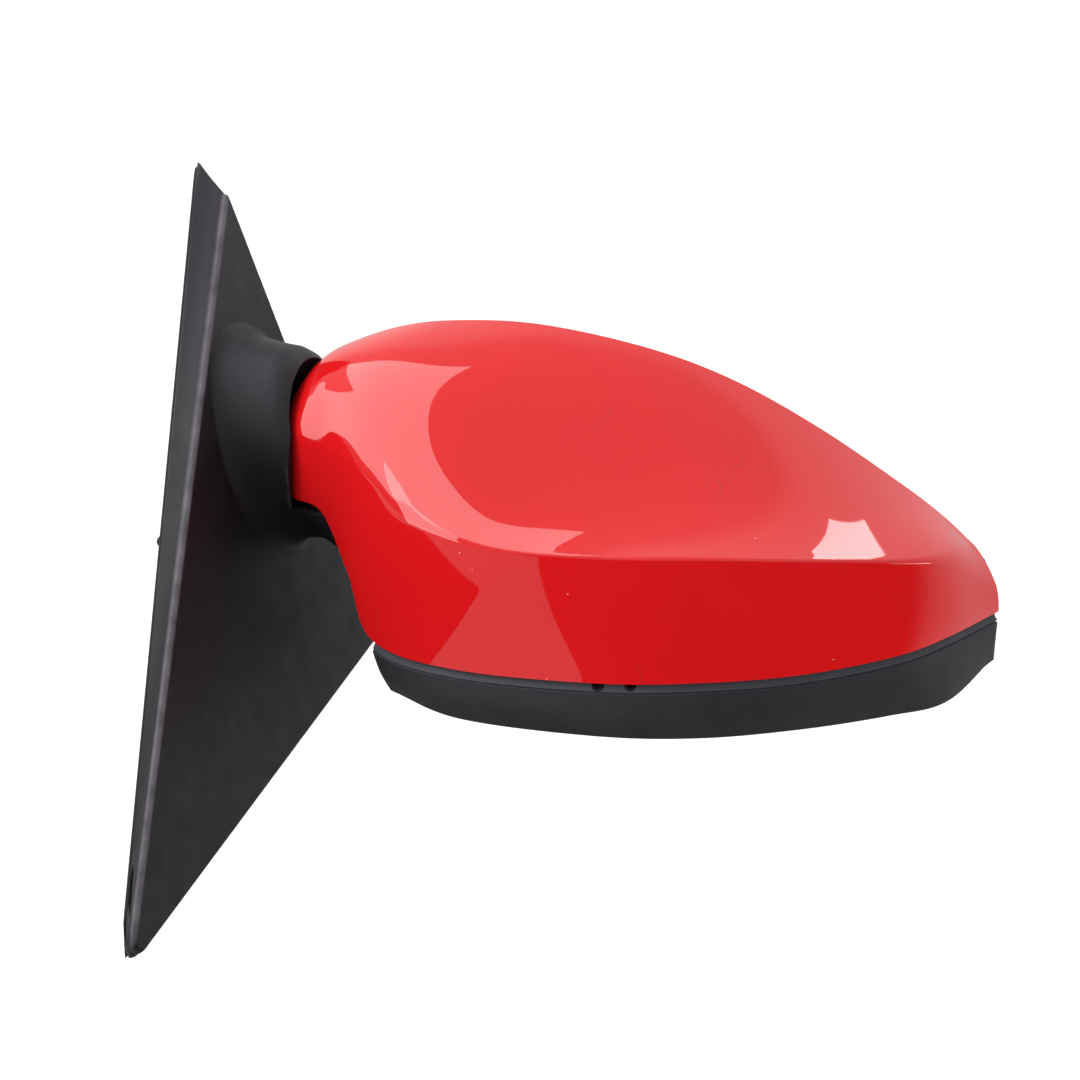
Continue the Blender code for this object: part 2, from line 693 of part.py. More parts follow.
def dome_point(t, v):
    """The cap above the shoulder line (v = 0), up to the rim over the glass (v = 1)."""
    shoulder = station_value(0, t)
    rim_x, rim_z = station_value(2, t)
    rim = (rim_x, RIM_Y, rim_z)
    rise, slope = math.radians(station_value(3, t)), math.radians(station_value(4, t))
    way = Vector((rim[0] - shoulder[0], rim[1] - shoulder[1])).normalized()
    hold = 0.38 * (Vector(rim) - Vector(shoulder)).length
    lift = (way.x * math.cos(rise), way.y * math.cos(rise), math.sin(rise))
    fall = (way.x * math.cos(slope), way.y * math.cos(slope), math.sin(slope))
    first = tuple(shoulder[k] + hold * lift[k] for k in range(3))
    second = tuple(rim[k] - hold * fall[k] for k in range(3))
    return bezier(shoulder, first, second, rim, v)


def outward(t):
    """The level direction out of the head at the cap's lower edge."""
    ahead = Vector(station_value(1, min(t + 0.05, len(STATIONS) - 1)))
    behind = Vector(station_value(1, max(t - 0.05, 0)))
    along = (ahead - behind).to_2d().normalized()
    return Vector((along.y, -along.x, 0))


def band_point(t, v):
    """The cap below the shoulder line, from its lower edge (v = 0) to the shoulder (v = 1)."""
    low, high = Vector(station_value(1, t)), Vector(station_value(0, t))
    bulge = spline(BAND_BULGE, t) * 4 * v * (1 - v)
    return tuple(low.lerp(high, v) + outward(t) * bulge)


def columns(first, last):
    steps = (last - first) * COLUMNS_PER_STATION
    return [first + i / COLUMNS_PER_STATION for i in range(steps + 1)]


def shell(name, rows):
    """A walled surface whose rear edge is kept flat at the rim plane."""
    obj = fixed_mesh(solidify(grid_mesh(name, rows), SHELL), Matrix.Identity(4))
    for vertex in obj.data.vertices:
        vertex.co.y = min(vertex.co.y, RIM_Y * MM)
    return obj


def mirror_cap():
    across = columns(0, len(STATIONS) - 1)
    rows = [[band_point(t, v / 2) for t in across] for v in range(3)]
    rows += [[dome_point(t, v / 8) for t in across] for v in range(1, 9)]
    return part(shell("mirror_cap", rows), "red_paint", HEAD)


def trim_ledge(t, inward, down):
    """A point below the cap's lower edge, moved towards the inside of the head."""
    point = Vector(station_value(1, t)) - outward(t) * inward
    return (point.x, min(point.y, RIM_Y), point.z - down)


def front_of_trim(x):
    """How far forward the trim reaches at a distance outboard."""
    for (x0, y0, _), (x1, y1, _) in zip(TRIM_BOTTOM, TRIM_BOTTOM[1:]):
        if x0 <= x <= x1:
            return y0 + (y1 - y0) * (x - x0) / (x1 - x0)
    raise ValueError("outside the trim")


def lower_housing():
    last = len(STATIONS) - 1
    across = columns(TRIM_START, last)
    rows = []
    for share in (0.0, 0.34, 0.67, 1.0):
        row = []
        for t in across:
            x, y, z = spline(TRIM_BOTTOM, t - TRIM_START)
            across_share = (t - TRIM_START) / (last - TRIM_START)
            rear_x = FLOOR_INBOARD_X + (TRIM_BOTTOM[-1][0] - FLOOR_INBOARD_X) * across_share
            rear = Vector((rear_x, RIM_Y, FLOOR_Z + (z - FLOOR_Z) * across_share**4))
            row.append(tuple(rear.lerp(Vector((x, y, z)), share)))
        rows.append(row)
    for share in (0.12, 0.5, 0.93):
        row = []
        for t in across:
            low, high = spline(TRIM_BOTTOM, t - TRIM_START), trim_ledge(t, 0.4, 1.2)
            bulge = 2.2 * math.sin(math.pi * min(1.0, share * 1.15) ** 0.6)
            point = [low[k] + (high[k] - low[k]) * share for k in range(3)]
            point[1] = min(RIM_Y, point[1] - bulge)
            row.append(tuple(point))
        rows.append(row)
    rows.append([trim_ledge(t, LEDGE, 1.0) for t in across])
    obj = shell("lower_housing", rows)
    for x, z in HOUSING_SCREWS:
        post = cylinder("housing_post", 4.0, (x, FRAME_Y[0] - CLEAR, z), (x, front_of_trim(x) - 2.9, z), 16)
        join(obj, [post], HEAD)
        cut(obj, [cylinder("housing_pilot", 1.9, (x, -20, z), (x, FRAME_Y[0] - 10, z), 12)], HEAD)
    shroud = cylinder("shroud_space", SHROUD_RADIUS + SHELL + CLEAR, (0, 0, -90), (0, 0, 0), 64)
    return part(cut(obj, [shroud], HEAD), "trim_plastic", HEAD)


def pivot_shroud():
    """The curved wall that closes the head round the foot."""
    inner, outer = SHROUD_RADIUS, SHROUD_RADIUS + SHELL - 0.2
    obj = turned("pivot_shroud", [(outer, -18.2), (outer, -75.2), (inner, -75.2), (inner, -18.2)], steps=64)
    turns = [math.radians(a) for a in (-66, -11, 44)]
    keep = [(0, 0)] + [(60 * math.cos(a), 60 * math.sin(a)) for a in turns]
    wedge = plate("shroud_wedge", keep, -90, 0, (), "Z")
    modifier = obj.modifiers.new("arc", "BOOLEAN")
    modifier.operation = "INTERSECT"
    modifier.solver = "EXACT"
    modifier.object = helper(wedge, HEAD)
    return part(obj, "trim_plastic", HEAD)


def rear_bezel():
    across = columns(0, len(STATIONS) - 1)
    top = [station_value(2, t) for t in across]
    outline = [(27.0, -77.6)] + BEZEL_OUTER_END + top[::-1] + [(-22.0, -17.6), (27.0, -17.6)]
    opening = closed_spline(OPENING, 3)
    obj = plate("rear_bezel", inset(outline, BEZEL_SET_BACK), RIM_Y + CLEAR, BEZEL_Y, [opening])
    skirt = plate("bezel_skirt", inset(opening, -2.2), SKIRT_Y, BEZEL_Y - 0.6, [inset(opening, -0.01)])
    join(obj, [skirt], HEAD)
    return part(obj, "black_plastic", HEAD)


# ---------------------------------------------------------------- head frame and glass unit


def head_frame():
    holes = [circle((UNIT_X + x, UNIT_Z + z), 1.9, 12) for x, z in ACTUATOR_SCREWS]
    holes += [circle(place, 1.9, 12) for place in HOUSING_SCREWS]
    obj = plate("head_frame", FRAME_OUTLINE, *FRAME_Y, holes)
    boss = cylinder("frame_boss", 14.8, (0, 0, -18.1), (0, 0, BOSS_TOP), 40)
    web = box("frame_web", (9, FRAME_Y[0] + 0.2, -16.2), (34, 6, -5))
    join(obj, [boss, web], HEAD)
    cut(obj, [cylinder("frame_bore", TUBE_RADIUS + CLEAR, (0, 0, -30), (0, 0, 10), 32)], HEAD)
    return part(obj, "cast_aluminium", HEAD)


def actuator_front():
    """The half of the drive case that holds the motors and gears, open to the rear."""
    obj = plate("actuator_front", CASE_OUTLINE, CASE_FRONT_Y, CASE_BACK_Y[0] - CLEAR)
    inner = plate("case_hollow", inset(CASE_OUTLINE, CASE_WALL), CASE_FRONT_Y + CASE_WALL, 0)
    cut(obj, [inner], UNIT)
    mouth = CASE_BACK_Y[0] - CLEAR
    posts = [cylinder("case_post", 3.6, (x, CASE_FRONT_Y, z), (x, mouth, z), 20) for x, z in ACTUATOR_SCREWS]
    join(obj, posts, UNIT)
    cut(obj, [cylinder("case_bore", 1.9, (x, -40, z), (x, 0, z), 12) for x, z in ACTUATOR_SCREWS], UNIT)
    for x, z in ((LEVER, 0), (0, -LEVER)):
        spigot = cylinder("gear_spigot", 5.2, (x, CASE_FRONT_Y + 1, z), (x, GEAR_Y[0] - CLEAR, z), 24)
        well = cylinder("plunger_well", 3.5, (x, CASE_FRONT_Y + 1.2, z), (x, -10, z), 20)
        cut(join(obj, [spigot], UNIT), [well], UNIT)
    return part(obj, "black_plastic", UNIT)


def ear(name, axis, side, low, high):
    """A lug that holds one gimbal pin, on the x or z axis of the glass unit."""
    near, far = sorted((side * (RING_OUTER + 1.2), side * (PIN_END + 1.0)))
    if axis == "X":
        return box(name, (near, low, -EAR_HALF), (far, high, EAR_HALF))
    return box(name, (-EAR_HALF, low, near), (EAR_HALF, high, far))


def pin_ends(axis, side, start, end):
    return ((side * start, 0, 0), (side * end, 0, 0)) if axis == "X" else ((0, 0, side * start), (0, 0, side * end))


def actuator_rear():
    """The case's rear half, with the yoke for the gimbal's upright pins."""
    holes = [circle((LEVER, 0), 3.6, 20), circle((0, -LEVER), 3.6, 20)]
    holes += [circle(place, 1.9, 12) for place in ACTUATOR_SCREWS]
    obj = plate("actuator_rear", CASE_OUTLINE, *CASE_BACK_Y, holes)
    join(obj, [ear("yoke", "Z", side, CASE_BACK_Y[0] + 1, EAR_HALF) for side in (1, -1)], UNIT)
    bores = [cylinder("yoke_bore", PIN_RADIUS + CLEAR, *pin_ends("Z", side, 10, PIN_END + 2), 16) for side in (1, -1)]
    cut(obj, bores, UNIT)
    return part(obj, "black_plastic", UNIT)


def gimbal_ring():
    outline, hole = circle((0, 0), RING_OUTER, 32), circle((0, 0), RING_INNER, 32)
    obj = plate("gimbal_ring", outline, -RING_HALF, RING_HALF, [hole])
    bores = []
    for axis in "XZ":
        for side in (1, -1):
            bores.append(cylinder("ring_bore", PIN_RADIUS + CLEAR, *pin_ends(axis, side, 8, 18), 16))
    cut(obj, bores, UNIT)
    return part(obj, "nylon", UNIT)


def gimbal_pins():
    for axis, label in (("Z", "pan"), ("X", "tilt")):
        for side, end in ((1, "upper" if axis == "Z" else "outer"), (-1, "lower" if axis == "Z" else "inner")):
            pin = cylinder(f"{label}_pin_{end}", PIN_RADIUS, *pin_ends(axis, side, RING_INNER - 0.5, PIN_END), 16)
            part(pin, "steel", UNIT)


def glass_outline(distance):
    outline = inset(closed_spline(OPENING, 2), distance)
    return [(x - UNIT_X, z - UNIT_Z) for x, z in outline]


def glass_carrier():
    """The plate behind the glass, with lugs for the gimbal and sockets for the two plungers."""
    obj = plate("glass_carrier", glass_outline(5.0), *CARRIER_Y)
    middle = (CARRIER_Y[0] + CARRIER_Y[1]) / 2
    join(obj, [ear("carrier_lug", "X", side, -EAR_HALF, middle) for side in (1, -1)], UNIT)
    sockets = [cylinder("socket", 5.2, (x, -1.0, z), (x, middle, z), 24) for x, z in ((LEVER, 0), (0, -LEVER))]
    join(obj, sockets, UNIT)
    bores = [cylinder("lug_bore", PIN_RADIUS + CLEAR, *pin_ends("X", side, 10, PIN_END + 2), 16) for side in (1, -1)]
    bores += [cylinder("socket_bore", 3.4, (x, -3, z), (x, 3.6, z), 24) for x, z in ((LEVER, 0), (0, -LEVER))]
    bores += [box("yoke_window", (-5, 3, min(z)), (5, 9, max(z))) for z in ((14.2, 24.0), (-14.2, -24.0))]
    cut(obj, bores, UNIT)
    return part(obj, "black_plastic", UNIT)


def glass_layers():
    part(plate("heater_pad", glass_outline(9.0), *HEATER_Y), "heater_foil", UNIT)
    part(plate("mirror_glass", glass_outline(4.0), *GLASS_Y), "mirror_silver", UNIT)


def plunger(name, parent):
    """A threaded rod that a gear moves in and out, with a ball that turns in the carrier's socket."""
    profile = [(0, BALL_RADIUS)]
    for angle in range(30, 145, 28):
        profile.append((BALL_RADIUS * math.sin(math.radians(angle)), BALL_RADIUS * math.cos(math.radians(angle))))
    profile += [(1.5, -2.6), (1.5, -3.6), (PLUNGER_RADIUS, -4.4)]
    for ridge in range(4):
        z = -13.0 - ridge * 2.4
        root = PLUNGER_RADIUS - 0.5
        profile += [(PLUNGER_RADIUS, z), (root, z - 0.4), (root, z - 0.9), (PLUNGER_RADIUS, z - 1.3)]
    profile += [(PLUNGER_RADIUS, -23.2), (0, -23.2)]
    return part(turned(name, profile, "Y", steps=12), "nylon", parent)


def drive_gear(name, parent):
    """A worm wheel whose threaded bore drives its plunger."""
    outline = []
    for tooth in range(GEAR_TEETH):
        for radius, shift in ((GEAR_ROOT, 0.0), (GEAR_ROOT, 0.3), (GEAR_TIP, 0.45), (GEAR_TIP, 0.8)):
            angle = 2 * math.pi * (tooth + shift) / GEAR_TEETH
            outline.append((radius * math.cos(angle), radius * math.sin(angle)))
    bore = circle((0, 0), PLUNGER_RADIUS + 0.4, 20)
    return part(plate(name, outline, *GEAR_Y, [bore]), "nylon", parent)


def worm(name, parent, centre, axis):
    """A worm on its shaft, along z or -x, with the shaft's tail running into the motor."""
    sides, rings = 10, 24
    rows = []
    for ring in range(rings + 1):
        z = -WORM_HALF + 2 * WORM_HALF * ring / rings
        row = []
        for side in range(sides):
            turn = side / sides
            wave = 0.5 + 0.5 * math.cos(2 * math.pi * (WORM_TURNS * ring / rings - turn))
            radius = WORM_ROOT + (WORM_TIP - WORM_ROOT) * wave
            row.append((radius * math.cos(2 * math.pi * turn), radius * math.sin(2 * math.pi * turn), z))
        rows.append(row)
    obj = grid_mesh(name, rows, ring=True, caps=True)
    shaft = cylinder(name + "_shaft", 1.0, (0, 0, -WORM_HALF - 1.5), (0, 0, MOTOR_SPAN[0] + 4), 12)
    join(obj, [shaft], None)
    made = fixed_mesh(obj, facing(axis, *centre))
    return part(made, "steel", parent)


def motor(name, centre, axis):
    """A small direct current motor, bored for the worm's shaft."""
    near, far = MOTOR_SPAN
    radius = MOTOR_RADIUS
    profile = [(0, far + 0.8), (2.0, far + 0.8), (2.0, far), (radius - 1, far), (radius, far - 1)]
    profile += [(radius, near + 1), (radius - 1, near), (1.4, near), (1.4, near + 5), (0, near + 5)]
    obj = turned(name, profile, steps=24)
    flats = [box("motor_flat", (x - 2.5, -9, 0), (x + 2.5, 9, 40)) for x in (radius + 1.5, -radius - 1.5)]
    for piece in (obj, *flats):
        piece.data.transform(facing(axis, *centre))
    return part(cut(obj, flats, UNIT), "steel", UNIT)


def drives():
    pan_centre = (LEVER - WORM_OFFSET, WORM_Y, 0)
    tilt_centre = (0, WORM_Y, -LEVER + WORM_OFFSET)
    worm("pan_worm", UNIT, pan_centre, (0, 0, 1))
    worm("tilt_worm", UNIT, tilt_centre, (-1, 0, 0))
    motor("pan_motor", pan_centre, (0, 0, 1))
    motor("tilt_motor", tilt_centre, (-1, 0, 0))
    for label, parent in (("pan", PAN_DRIVE), ("tilt", TILT_DRIVE)):
        plunger(f"{label}_plunger", parent)
        drive_gear(f"{label}_drive_gear", parent)


def head_screws():
    for number, (x, z) in enumerate(ACTUATOR_SCREWS, 1):
        place = facing((0, -1, 0), x, CASE_BACK_Y[1] + CLEAR, z)
        screw(f"actuator_screw_{number}", 3.0, 1.6, 1.5, 26.5, "steel", UNIT, place)
    for number, (x, z) in enumerate(HOUSING_SCREWS, 1):
        place = facing((0, -1, 0), x, FRAME_Y[1] + CLEAR, z)
        screw(f"housing_screw_{number}", 3.2, 1.8, 1.5, 9.0, "steel", HEAD, place)


def wiring_socket():
    """The plug socket on the drive case that the motors' leads go to."""
    obj = box("wiring_socket", (-46, -26.5, -34), (-36.3, -14.5, -18))
    cut(obj, [box("socket_mouth", (-48, -25, -32.5), (-39, -16, -19.5))], UNIT)
    return part(obj, "black_plastic", UNIT)


def main():
    sail_cover()
    door_gasket()
    base_bracket()
    base_fittings()
    pivot_stack()
    fold_spring()
    mirror_cap()
    lower_housing()
    pivot_shroud()
    rear_bezel()
    head_frame()
    actuator_front()
    actuator_rear()
    gimbal_ring()
    gimbal_pins()
    glass_carrier()
    glass_layers()
    drives()
    head_screws()
    wiring_socket()


main()
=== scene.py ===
"""Looks of the left-hand car door mirror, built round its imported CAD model.

Lengths in the tables are millimetres in the frame that each table names. The row frame has +X away from
the car, +Y to its rear and +Z up. The head frame is the same about the pivot, turned outboard by the toe.
"""

import json
import math

import bmesh
import bpy
from mathutils import Matrix, Vector


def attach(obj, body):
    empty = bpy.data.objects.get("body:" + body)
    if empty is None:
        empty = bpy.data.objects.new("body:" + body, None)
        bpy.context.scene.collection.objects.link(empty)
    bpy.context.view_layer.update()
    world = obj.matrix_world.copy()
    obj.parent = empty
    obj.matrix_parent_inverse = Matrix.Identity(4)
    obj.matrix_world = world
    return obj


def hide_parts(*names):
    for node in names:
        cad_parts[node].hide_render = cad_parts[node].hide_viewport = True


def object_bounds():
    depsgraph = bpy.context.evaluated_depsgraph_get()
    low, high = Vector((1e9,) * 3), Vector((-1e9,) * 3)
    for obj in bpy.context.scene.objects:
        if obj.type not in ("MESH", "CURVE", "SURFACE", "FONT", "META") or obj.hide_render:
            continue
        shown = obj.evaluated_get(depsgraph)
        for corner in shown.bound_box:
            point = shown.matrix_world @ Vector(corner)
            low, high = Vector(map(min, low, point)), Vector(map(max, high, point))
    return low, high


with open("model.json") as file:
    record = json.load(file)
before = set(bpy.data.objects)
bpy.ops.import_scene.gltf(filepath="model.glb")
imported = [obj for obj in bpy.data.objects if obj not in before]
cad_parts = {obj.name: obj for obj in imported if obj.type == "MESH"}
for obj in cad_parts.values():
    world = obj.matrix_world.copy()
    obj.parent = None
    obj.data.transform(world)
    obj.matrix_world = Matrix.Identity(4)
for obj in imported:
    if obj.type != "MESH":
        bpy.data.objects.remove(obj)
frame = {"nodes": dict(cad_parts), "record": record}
CAD_BOX = [list(corner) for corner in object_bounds()]
NODES = frame["nodes"]
MM = 0.001

# ---------------------------------------------------------------- camera

CAMERA_AZIMUTH = math.radians(20.0)
CAMERA_ELEVATION = math.radians(29.0)
CAMERA_DISTANCE = 1.5
CAMERA_TARGET = Vector((0.1162385, 0.00434102, -0.03196886))
CAMERA_LENS = 145.0

# ---------------------------------------------------------------- shapes shared with the CAD model

LEAN = math.radians(20.0)
SAIL_DEPTH = 12.0
SAIL_WALL = 2.5
GASKET = 2.0
SAIL_FACE_CORNERS = [(-194.5, -110.5), (38.0, -105.5), (37.0, 67.0)]
SAIL_BACK_CORNERS = [(-187.0, -116.0), (41.0, -111.0), (42.0, 79.0)]
SAIL_CORNER_RADII = [4.5, 4.0, 1.5]
SAIL_EDGE_ROUND = 1.7
SAIL_SIDE_SHARE = 0.9
SAIL_SIDE_TOP = 9.6
SAIL_SIDE_BULGE = 0.35
HOLLOW_BACK = -5.0
COVER_SCREW_PLACES = [(-46.0, -60.0), (-16.0, -76.0)]
PLATE = 6.0
CLEAR = 0.3

PIVOT_X = 52.5
NECK_WIDTH = (26.0, 25.0)
NECK_HEIGHT = (34.0, 22.0)
NECK_MIDDLE_Z = (-6.5, -25.0)
NECK_DROP_SHARES = (0.3, 0.62)
NECK_FLARE = 9.0
NECK_FLARE_SHARE = 0.3
NECK_FLARE_HELD = math.radians(118.0)
NECK_FLARE_CUT = 0.65
FOOT_RADIUS = 25.0
FOOT_TOP = -20.5
BOSS_RADIUS = 18.0

HEAD_TOE = math.radians(10.0)
SADDLE_SIDE_X = -17.0
SADDLE_PROFILE = [
    (FOOT_TOP, 28.2),
    (5.0, 28.2),
    (8.5, 27.8),
    (11.5, 27.2),
    (14.5, 26.3),
    (17.5, 25.1),
    (20.5, 23.6),
    (23.5, 21.6),
    (26.5, 19.9),
    (70.0, 19.9),
]
SHELL = 2.5
RIM_Y = 15.0
BEZEL_Y = 17.6
BEZEL_SET_BACK = 1.1
BEZEL_INNER_END = [(-22.0, -17.6), (27.0, -17.6), (27.0, -77.6)]
BEZEL_OUTER_END = [(214.0, -77.6), (219.4, -74.6), (221.0, -57.0), (219.6, -46.0), (216.2, -37.5)]
SKIRT_Y = 11.5
SHROUD_RADIUS = 28.0

# Head frame: the shoulder line, the cap's lower edge, the rim above the glass as (x, z), and the slopes at
# the shoulder and the rim in degrees.
STATIONS = [
    ((-22.4, 15.0, 2.0), (-22.4, 15.0, -18.0), (-22.0, 6.0), 90, 40),
    ((-27.0, 0.0, 1.0), (-27.0, 0.0, -18.0), (-20.5, 13.0), 90, -5),
    ((-21.0, -17.0, 0.5), (-21.0, -17.0, -17.5), (-16.5, 20.0), 90, -20),
    ((-7.5, -26.0, 0.0), (-9.0, -25.5, -18.0), (-8.5, 26.5), 88, -22),
    ((9.0, -41.0, 0.0), (3.0, -40.0, -33.0), (10.0, 34.8), 80, -10),
    ((28.0, -54.0, -1.0), (13.0, -49.5, -52.5), (30.0, 39.0), 62, 0),
    ((58.0, -67.5, -2.2), (43.0, -63.5, -52.6), (60.0, 40.0), 28, 6),
    ((95.0, -71.0, -0.4), (92.0, -70.0, -49.3), (97.0, 34.2), 8, 10),
    ((127.0, -67.0, 0.0), (127.0, -67.0, -47.5), (127.0, 24.4), 4, 10),
    ((159.0, -56.0, -3.6), (160.0, -55.0, -48.0), (157.0, 8.6), 4, 8),
    ((190.0, -32.0, -14.0), (189.0, -34.0, -50.3), (186.0, -10.5), 8, 4),
    ((204.5, -13.0, -21.8), (205.0, -14.0, -52.8), (200.0, -21.0), 12, 0),
    ((216.2, 15.0, -37.5), (221.0, 15.0, -57.0), (209.5, -29.8), 50, 40),
]
CREASE_ROUNDING = [7.0, 7.0, 7.0, 7.0, 6.0, 3.6, 1.6, 1.1, 1.0, 1.0, 1.4, 4.0, 9.0]
BAND_BULGE = [0.0, 0.0, 0.0, 0.2, 0.5, 0.8, 0.8, 0.8, 0.8, 0.8, 0.8, 1.2, 1.6]
DOME_HOLD = 0.38
TRIM_START = 5
TRIM_BOTTOM = [
    (19.0, -48.0, -73.5),
    (45.0, -58.5, -75.8),
    (92.0, -64.5, -74.0),
    (127.0, -61.5, -73.0),
    (160.0, -50.0, -73.0),
    (189.0, -31.0, -75.8),
    (207.0, -12.5, -79.3),
    (220.3, 15.0, -76.6),
]
TRIM_CORNER = 2.0
TRIM_BULGE = 1.5
# The trim's lip, from its outer face to the cap: distance inside the cap's lower edge, distance below it.
TRIM_LIP = [
    (0.15, 4.6),
    (0.15, 4.2),
    (0.9, 4.0),
    (0.9, 3.7),
    (0.3, 3.45),
    (0.5, 3.1),
    (1.9, 1.1),
    (2.4, 0.15),
    (4.2, 0.06),
]
# Two small notches through the lip, as (x, z) in the head frame.
NOTCH_PLACES = [(94.0, -50.7), (104.9, -49.5)]
NOTCH_RADIUS = 2.1
NOTCH_Y = (-78.0, -66.0)
FLOOR_INBOARD_X = 22.0
FLOOR_Z = -78.0

OPENING = [
    (39.0, -68.5),
    (60.0, -70.0),
    (110.0, -70.0),
    (165.0, -69.5),
    (194.0, -67.0),
    (202.5, -57.0),
    (199.0, -43.0),
    (185.0, -28.5),
    (162.0, -11.0),
    (135.0, 6.0),
    (105.0, 18.5),
    (75.0, 26.0),
    (50.0, 25.5),
    (36.0, 12.0),
    (33.0, -25.0),
    (34.0, -60.0),
]
UNIT_X = 115.0
UNIT_Z = -25.0
GLASS_INSET = 4.0
GLASS_BACK_Y = 8.3
GLASS_GROUND_EDGE = ((1.0, 10.5), (0.995, 10.9))
GLASS_FACE_Y = 11.1
GLASS_RADIUS = 2600.0

SEAL_SET_BACK = 1.4
SEAL_CORNER_RADII = [3.0, 3.0, 0.6]
# The seal's profile round the sail: distance in, distance out from the door, share of the lip's drop.
SEAL_PROFILE = [
    (4.0, 0.0, 0),
    (0.6, 0.0, 0.7),
    (0.0, 0.5, 0.95),
    (-0.35, 1.0, 1),
    (0.0, 1.6, 0.95),
    (0.6, 2.1, 0.7),
    (4.0, 2.1, 0),
]
# How far the seal's lip hangs below the sail, every 36 mm from its front corner to its rear corner.
SEAL_LIP = [0.0, 0.9, 1.5, 2.5, 1.9, 2.6, 0.6]
SEAL_LIP_START = -180
SEAL_LIP_STEP = 36
SEAL_LIP_TOP = -105

ARC_POINTS = 12
SAIL_DIRECTIONS = 144
BAND_STEPS = 10
CORNER_STEPS = 8
DOME_STEPS = 44

ROW = Matrix.Identity(4)
DOOR = Matrix.Rotation(-LEAN, 4, "Y")
PIVOT = Matrix.Translation((PIVOT_X * MM, 0, 0))
HEAD = PIVOT @ Matrix.Rotation(HEAD_TOE, 4, "Z")
UNIT = HEAD @ Matrix.Translation((UNIT_X * MM, 0, UNIT_Z * MM))


def make_camera():
    cos_e, sin_e = math.cos(CAMERA_ELEVATION), math.sin(CAMERA_ELEVATION)
    view = Vector((-math.sin(CAMERA_AZIMUTH) * cos_e, math.cos(CAMERA_AZIMUTH) * cos_e, -sin_e))
    data = bpy.data.cameras.new("camera")
    data.lens = CAMERA_LENS
    data.sensor_width = 36.0
    camera = bpy.data.objects.new("camera", data)
    bpy.context.scene.collection.objects.link(camera)
    camera.location = CAMERA_TARGET - view * CAMERA_DISTANCE
    camera.rotation_euler = view.to_track_quat("-Z", "Y").to_euler()
    bpy.context.scene.camera = camera


# ---------------------------------------------------------------- curves and outlines


def spline(values, t):
    """A Catmull-Rom curve through values (numbers or tuples) at t from 0 to len(values) - 1."""
    if isinstance(values[0], tuple):
        return tuple(spline([v[k] for v in values], t) for k in range(len(values[0])))
    last = len(values) - 1
    i = min(int(t), last - 1)
    f = t - i
    p1, p2 = values[i], values[i + 1]
    m1 = (p2 - values[i - 1]) / 2 if i > 0 else p2 - p1
    m2 = (values[i + 2] - p1) / 2 if i + 2 <= last else p2 - p1
    start = 2 * f**3 - 3 * f**2 + 1
    return start * p1 + (f**3 - 2 * f**2 + f) * m1 + (1 - start) * p2 + (f**3 - f**2) * m2


def bezier(points, t):
    """A Bezier curve of any degree."""
    points = [Vector(p) for p in points]
    while len(points) > 1:
        points = [a.lerp(b, t) for a, b in zip(points, points[1:])]
    return points[0]


def closed_spline(points, per_span):
    wrapped = points[-1:] + points + points[:2]
    return [spline(wrapped, 1 + i / per_span) for i in range(len(points) * per_span)]


def inset(outline, distance):
    """An anticlockwise outline moved to its inner side."""
    moved = []
    for i, point in enumerate(outline):
        before = Vector(point) - Vector(outline[i - 1])
        after = Vector(outline[(i + 1) % len(outline)]) - Vector(point)
        n1 = Vector((-before.y, before.x)).normalized()
        n2 = Vector((-after.y, after.x)).normalized()
        bisector = (n1 + n2).normalized()
        moved.append(tuple(Vector(point) + bisector * distance / max(0.25, bisector.dot(n1))))
    return moved


def clear_inset(outline, distance):
    """An inset outline without the small loops that form where a corner is tighter than the inset."""
    ends = list(zip(outline, outline[1:] + outline[:1]))

    def room(point):
        nearest = 1e9
        for a, b in ends:
            a, b = Vector(a), Vector(b)
            share = min(1.0, max(0.0, (point - a).dot(b - a) / max(1e-9, (b - a).length_squared)))
            nearest = min(nearest, (point - a.lerp(b, share)).length)
        return nearest

    return [point for point in inset(outline, distance) if room(Vector(point)) > distance - 0.05]


def rounded(corners, radii):
    """An anticlockwise polygon whose corners are arcs."""
    outline = []
    for i, corner in enumerate(corners):
        corner = Vector(corner)
        back = (Vector(corners[i - 1]) - corner).normalized()
        ahead = (Vector(corners[(i + 1) % len(corners)]) - corner).normalized()
        half = back.angle(ahead) / 2
        centre = corner + (back + ahead).normalized() * (radii[i] / math.sin(half))
        start = corner + back * (radii[i] / math.tan(half)) - centre
        for k in range(ARC_POINTS):
            angle = (math.pi - 2 * half) * k / (ARC_POINTS - 1)
            cos, sin = math.cos(angle), math.sin(angle)
            x = centre.x + start.x * cos - start.y * sin
            y = centre.y + start.x * sin + start.y * cos
            outline.append((x, y))
    return outline


def reach(outline, angle):
    """The point where a ray from the centre meets an outline."""
    way = Vector((math.cos(angle), math.sin(angle)))
    for i, point in enumerate(outline):
        a, b = Vector(point), Vector(outline[(i + 1) % len(outline)])
        side_a, side_b = way.cross(a), way.cross(b)
        if side_a <= 0 < side_b:
            crossing = a.lerp(b, side_a / (side_a - side_b))
            if crossing.dot(way) > 0:
                return tuple(crossing)
    raise ValueError("the outline does not surround its centre")


# ---------------------------------------------------------------- meshes


def link(name, mesh):
    obj = bpy.data.objects.new(name, mesh)
    bpy.context.scene.collection.objects.link(obj)
    return obj


def evaluated_mesh(obj):
    bpy.context.view_layer.update()
    return bpy.data.meshes.new_from_object(obj.evaluated_get(bpy.context.evaluated_depsgraph_get()))


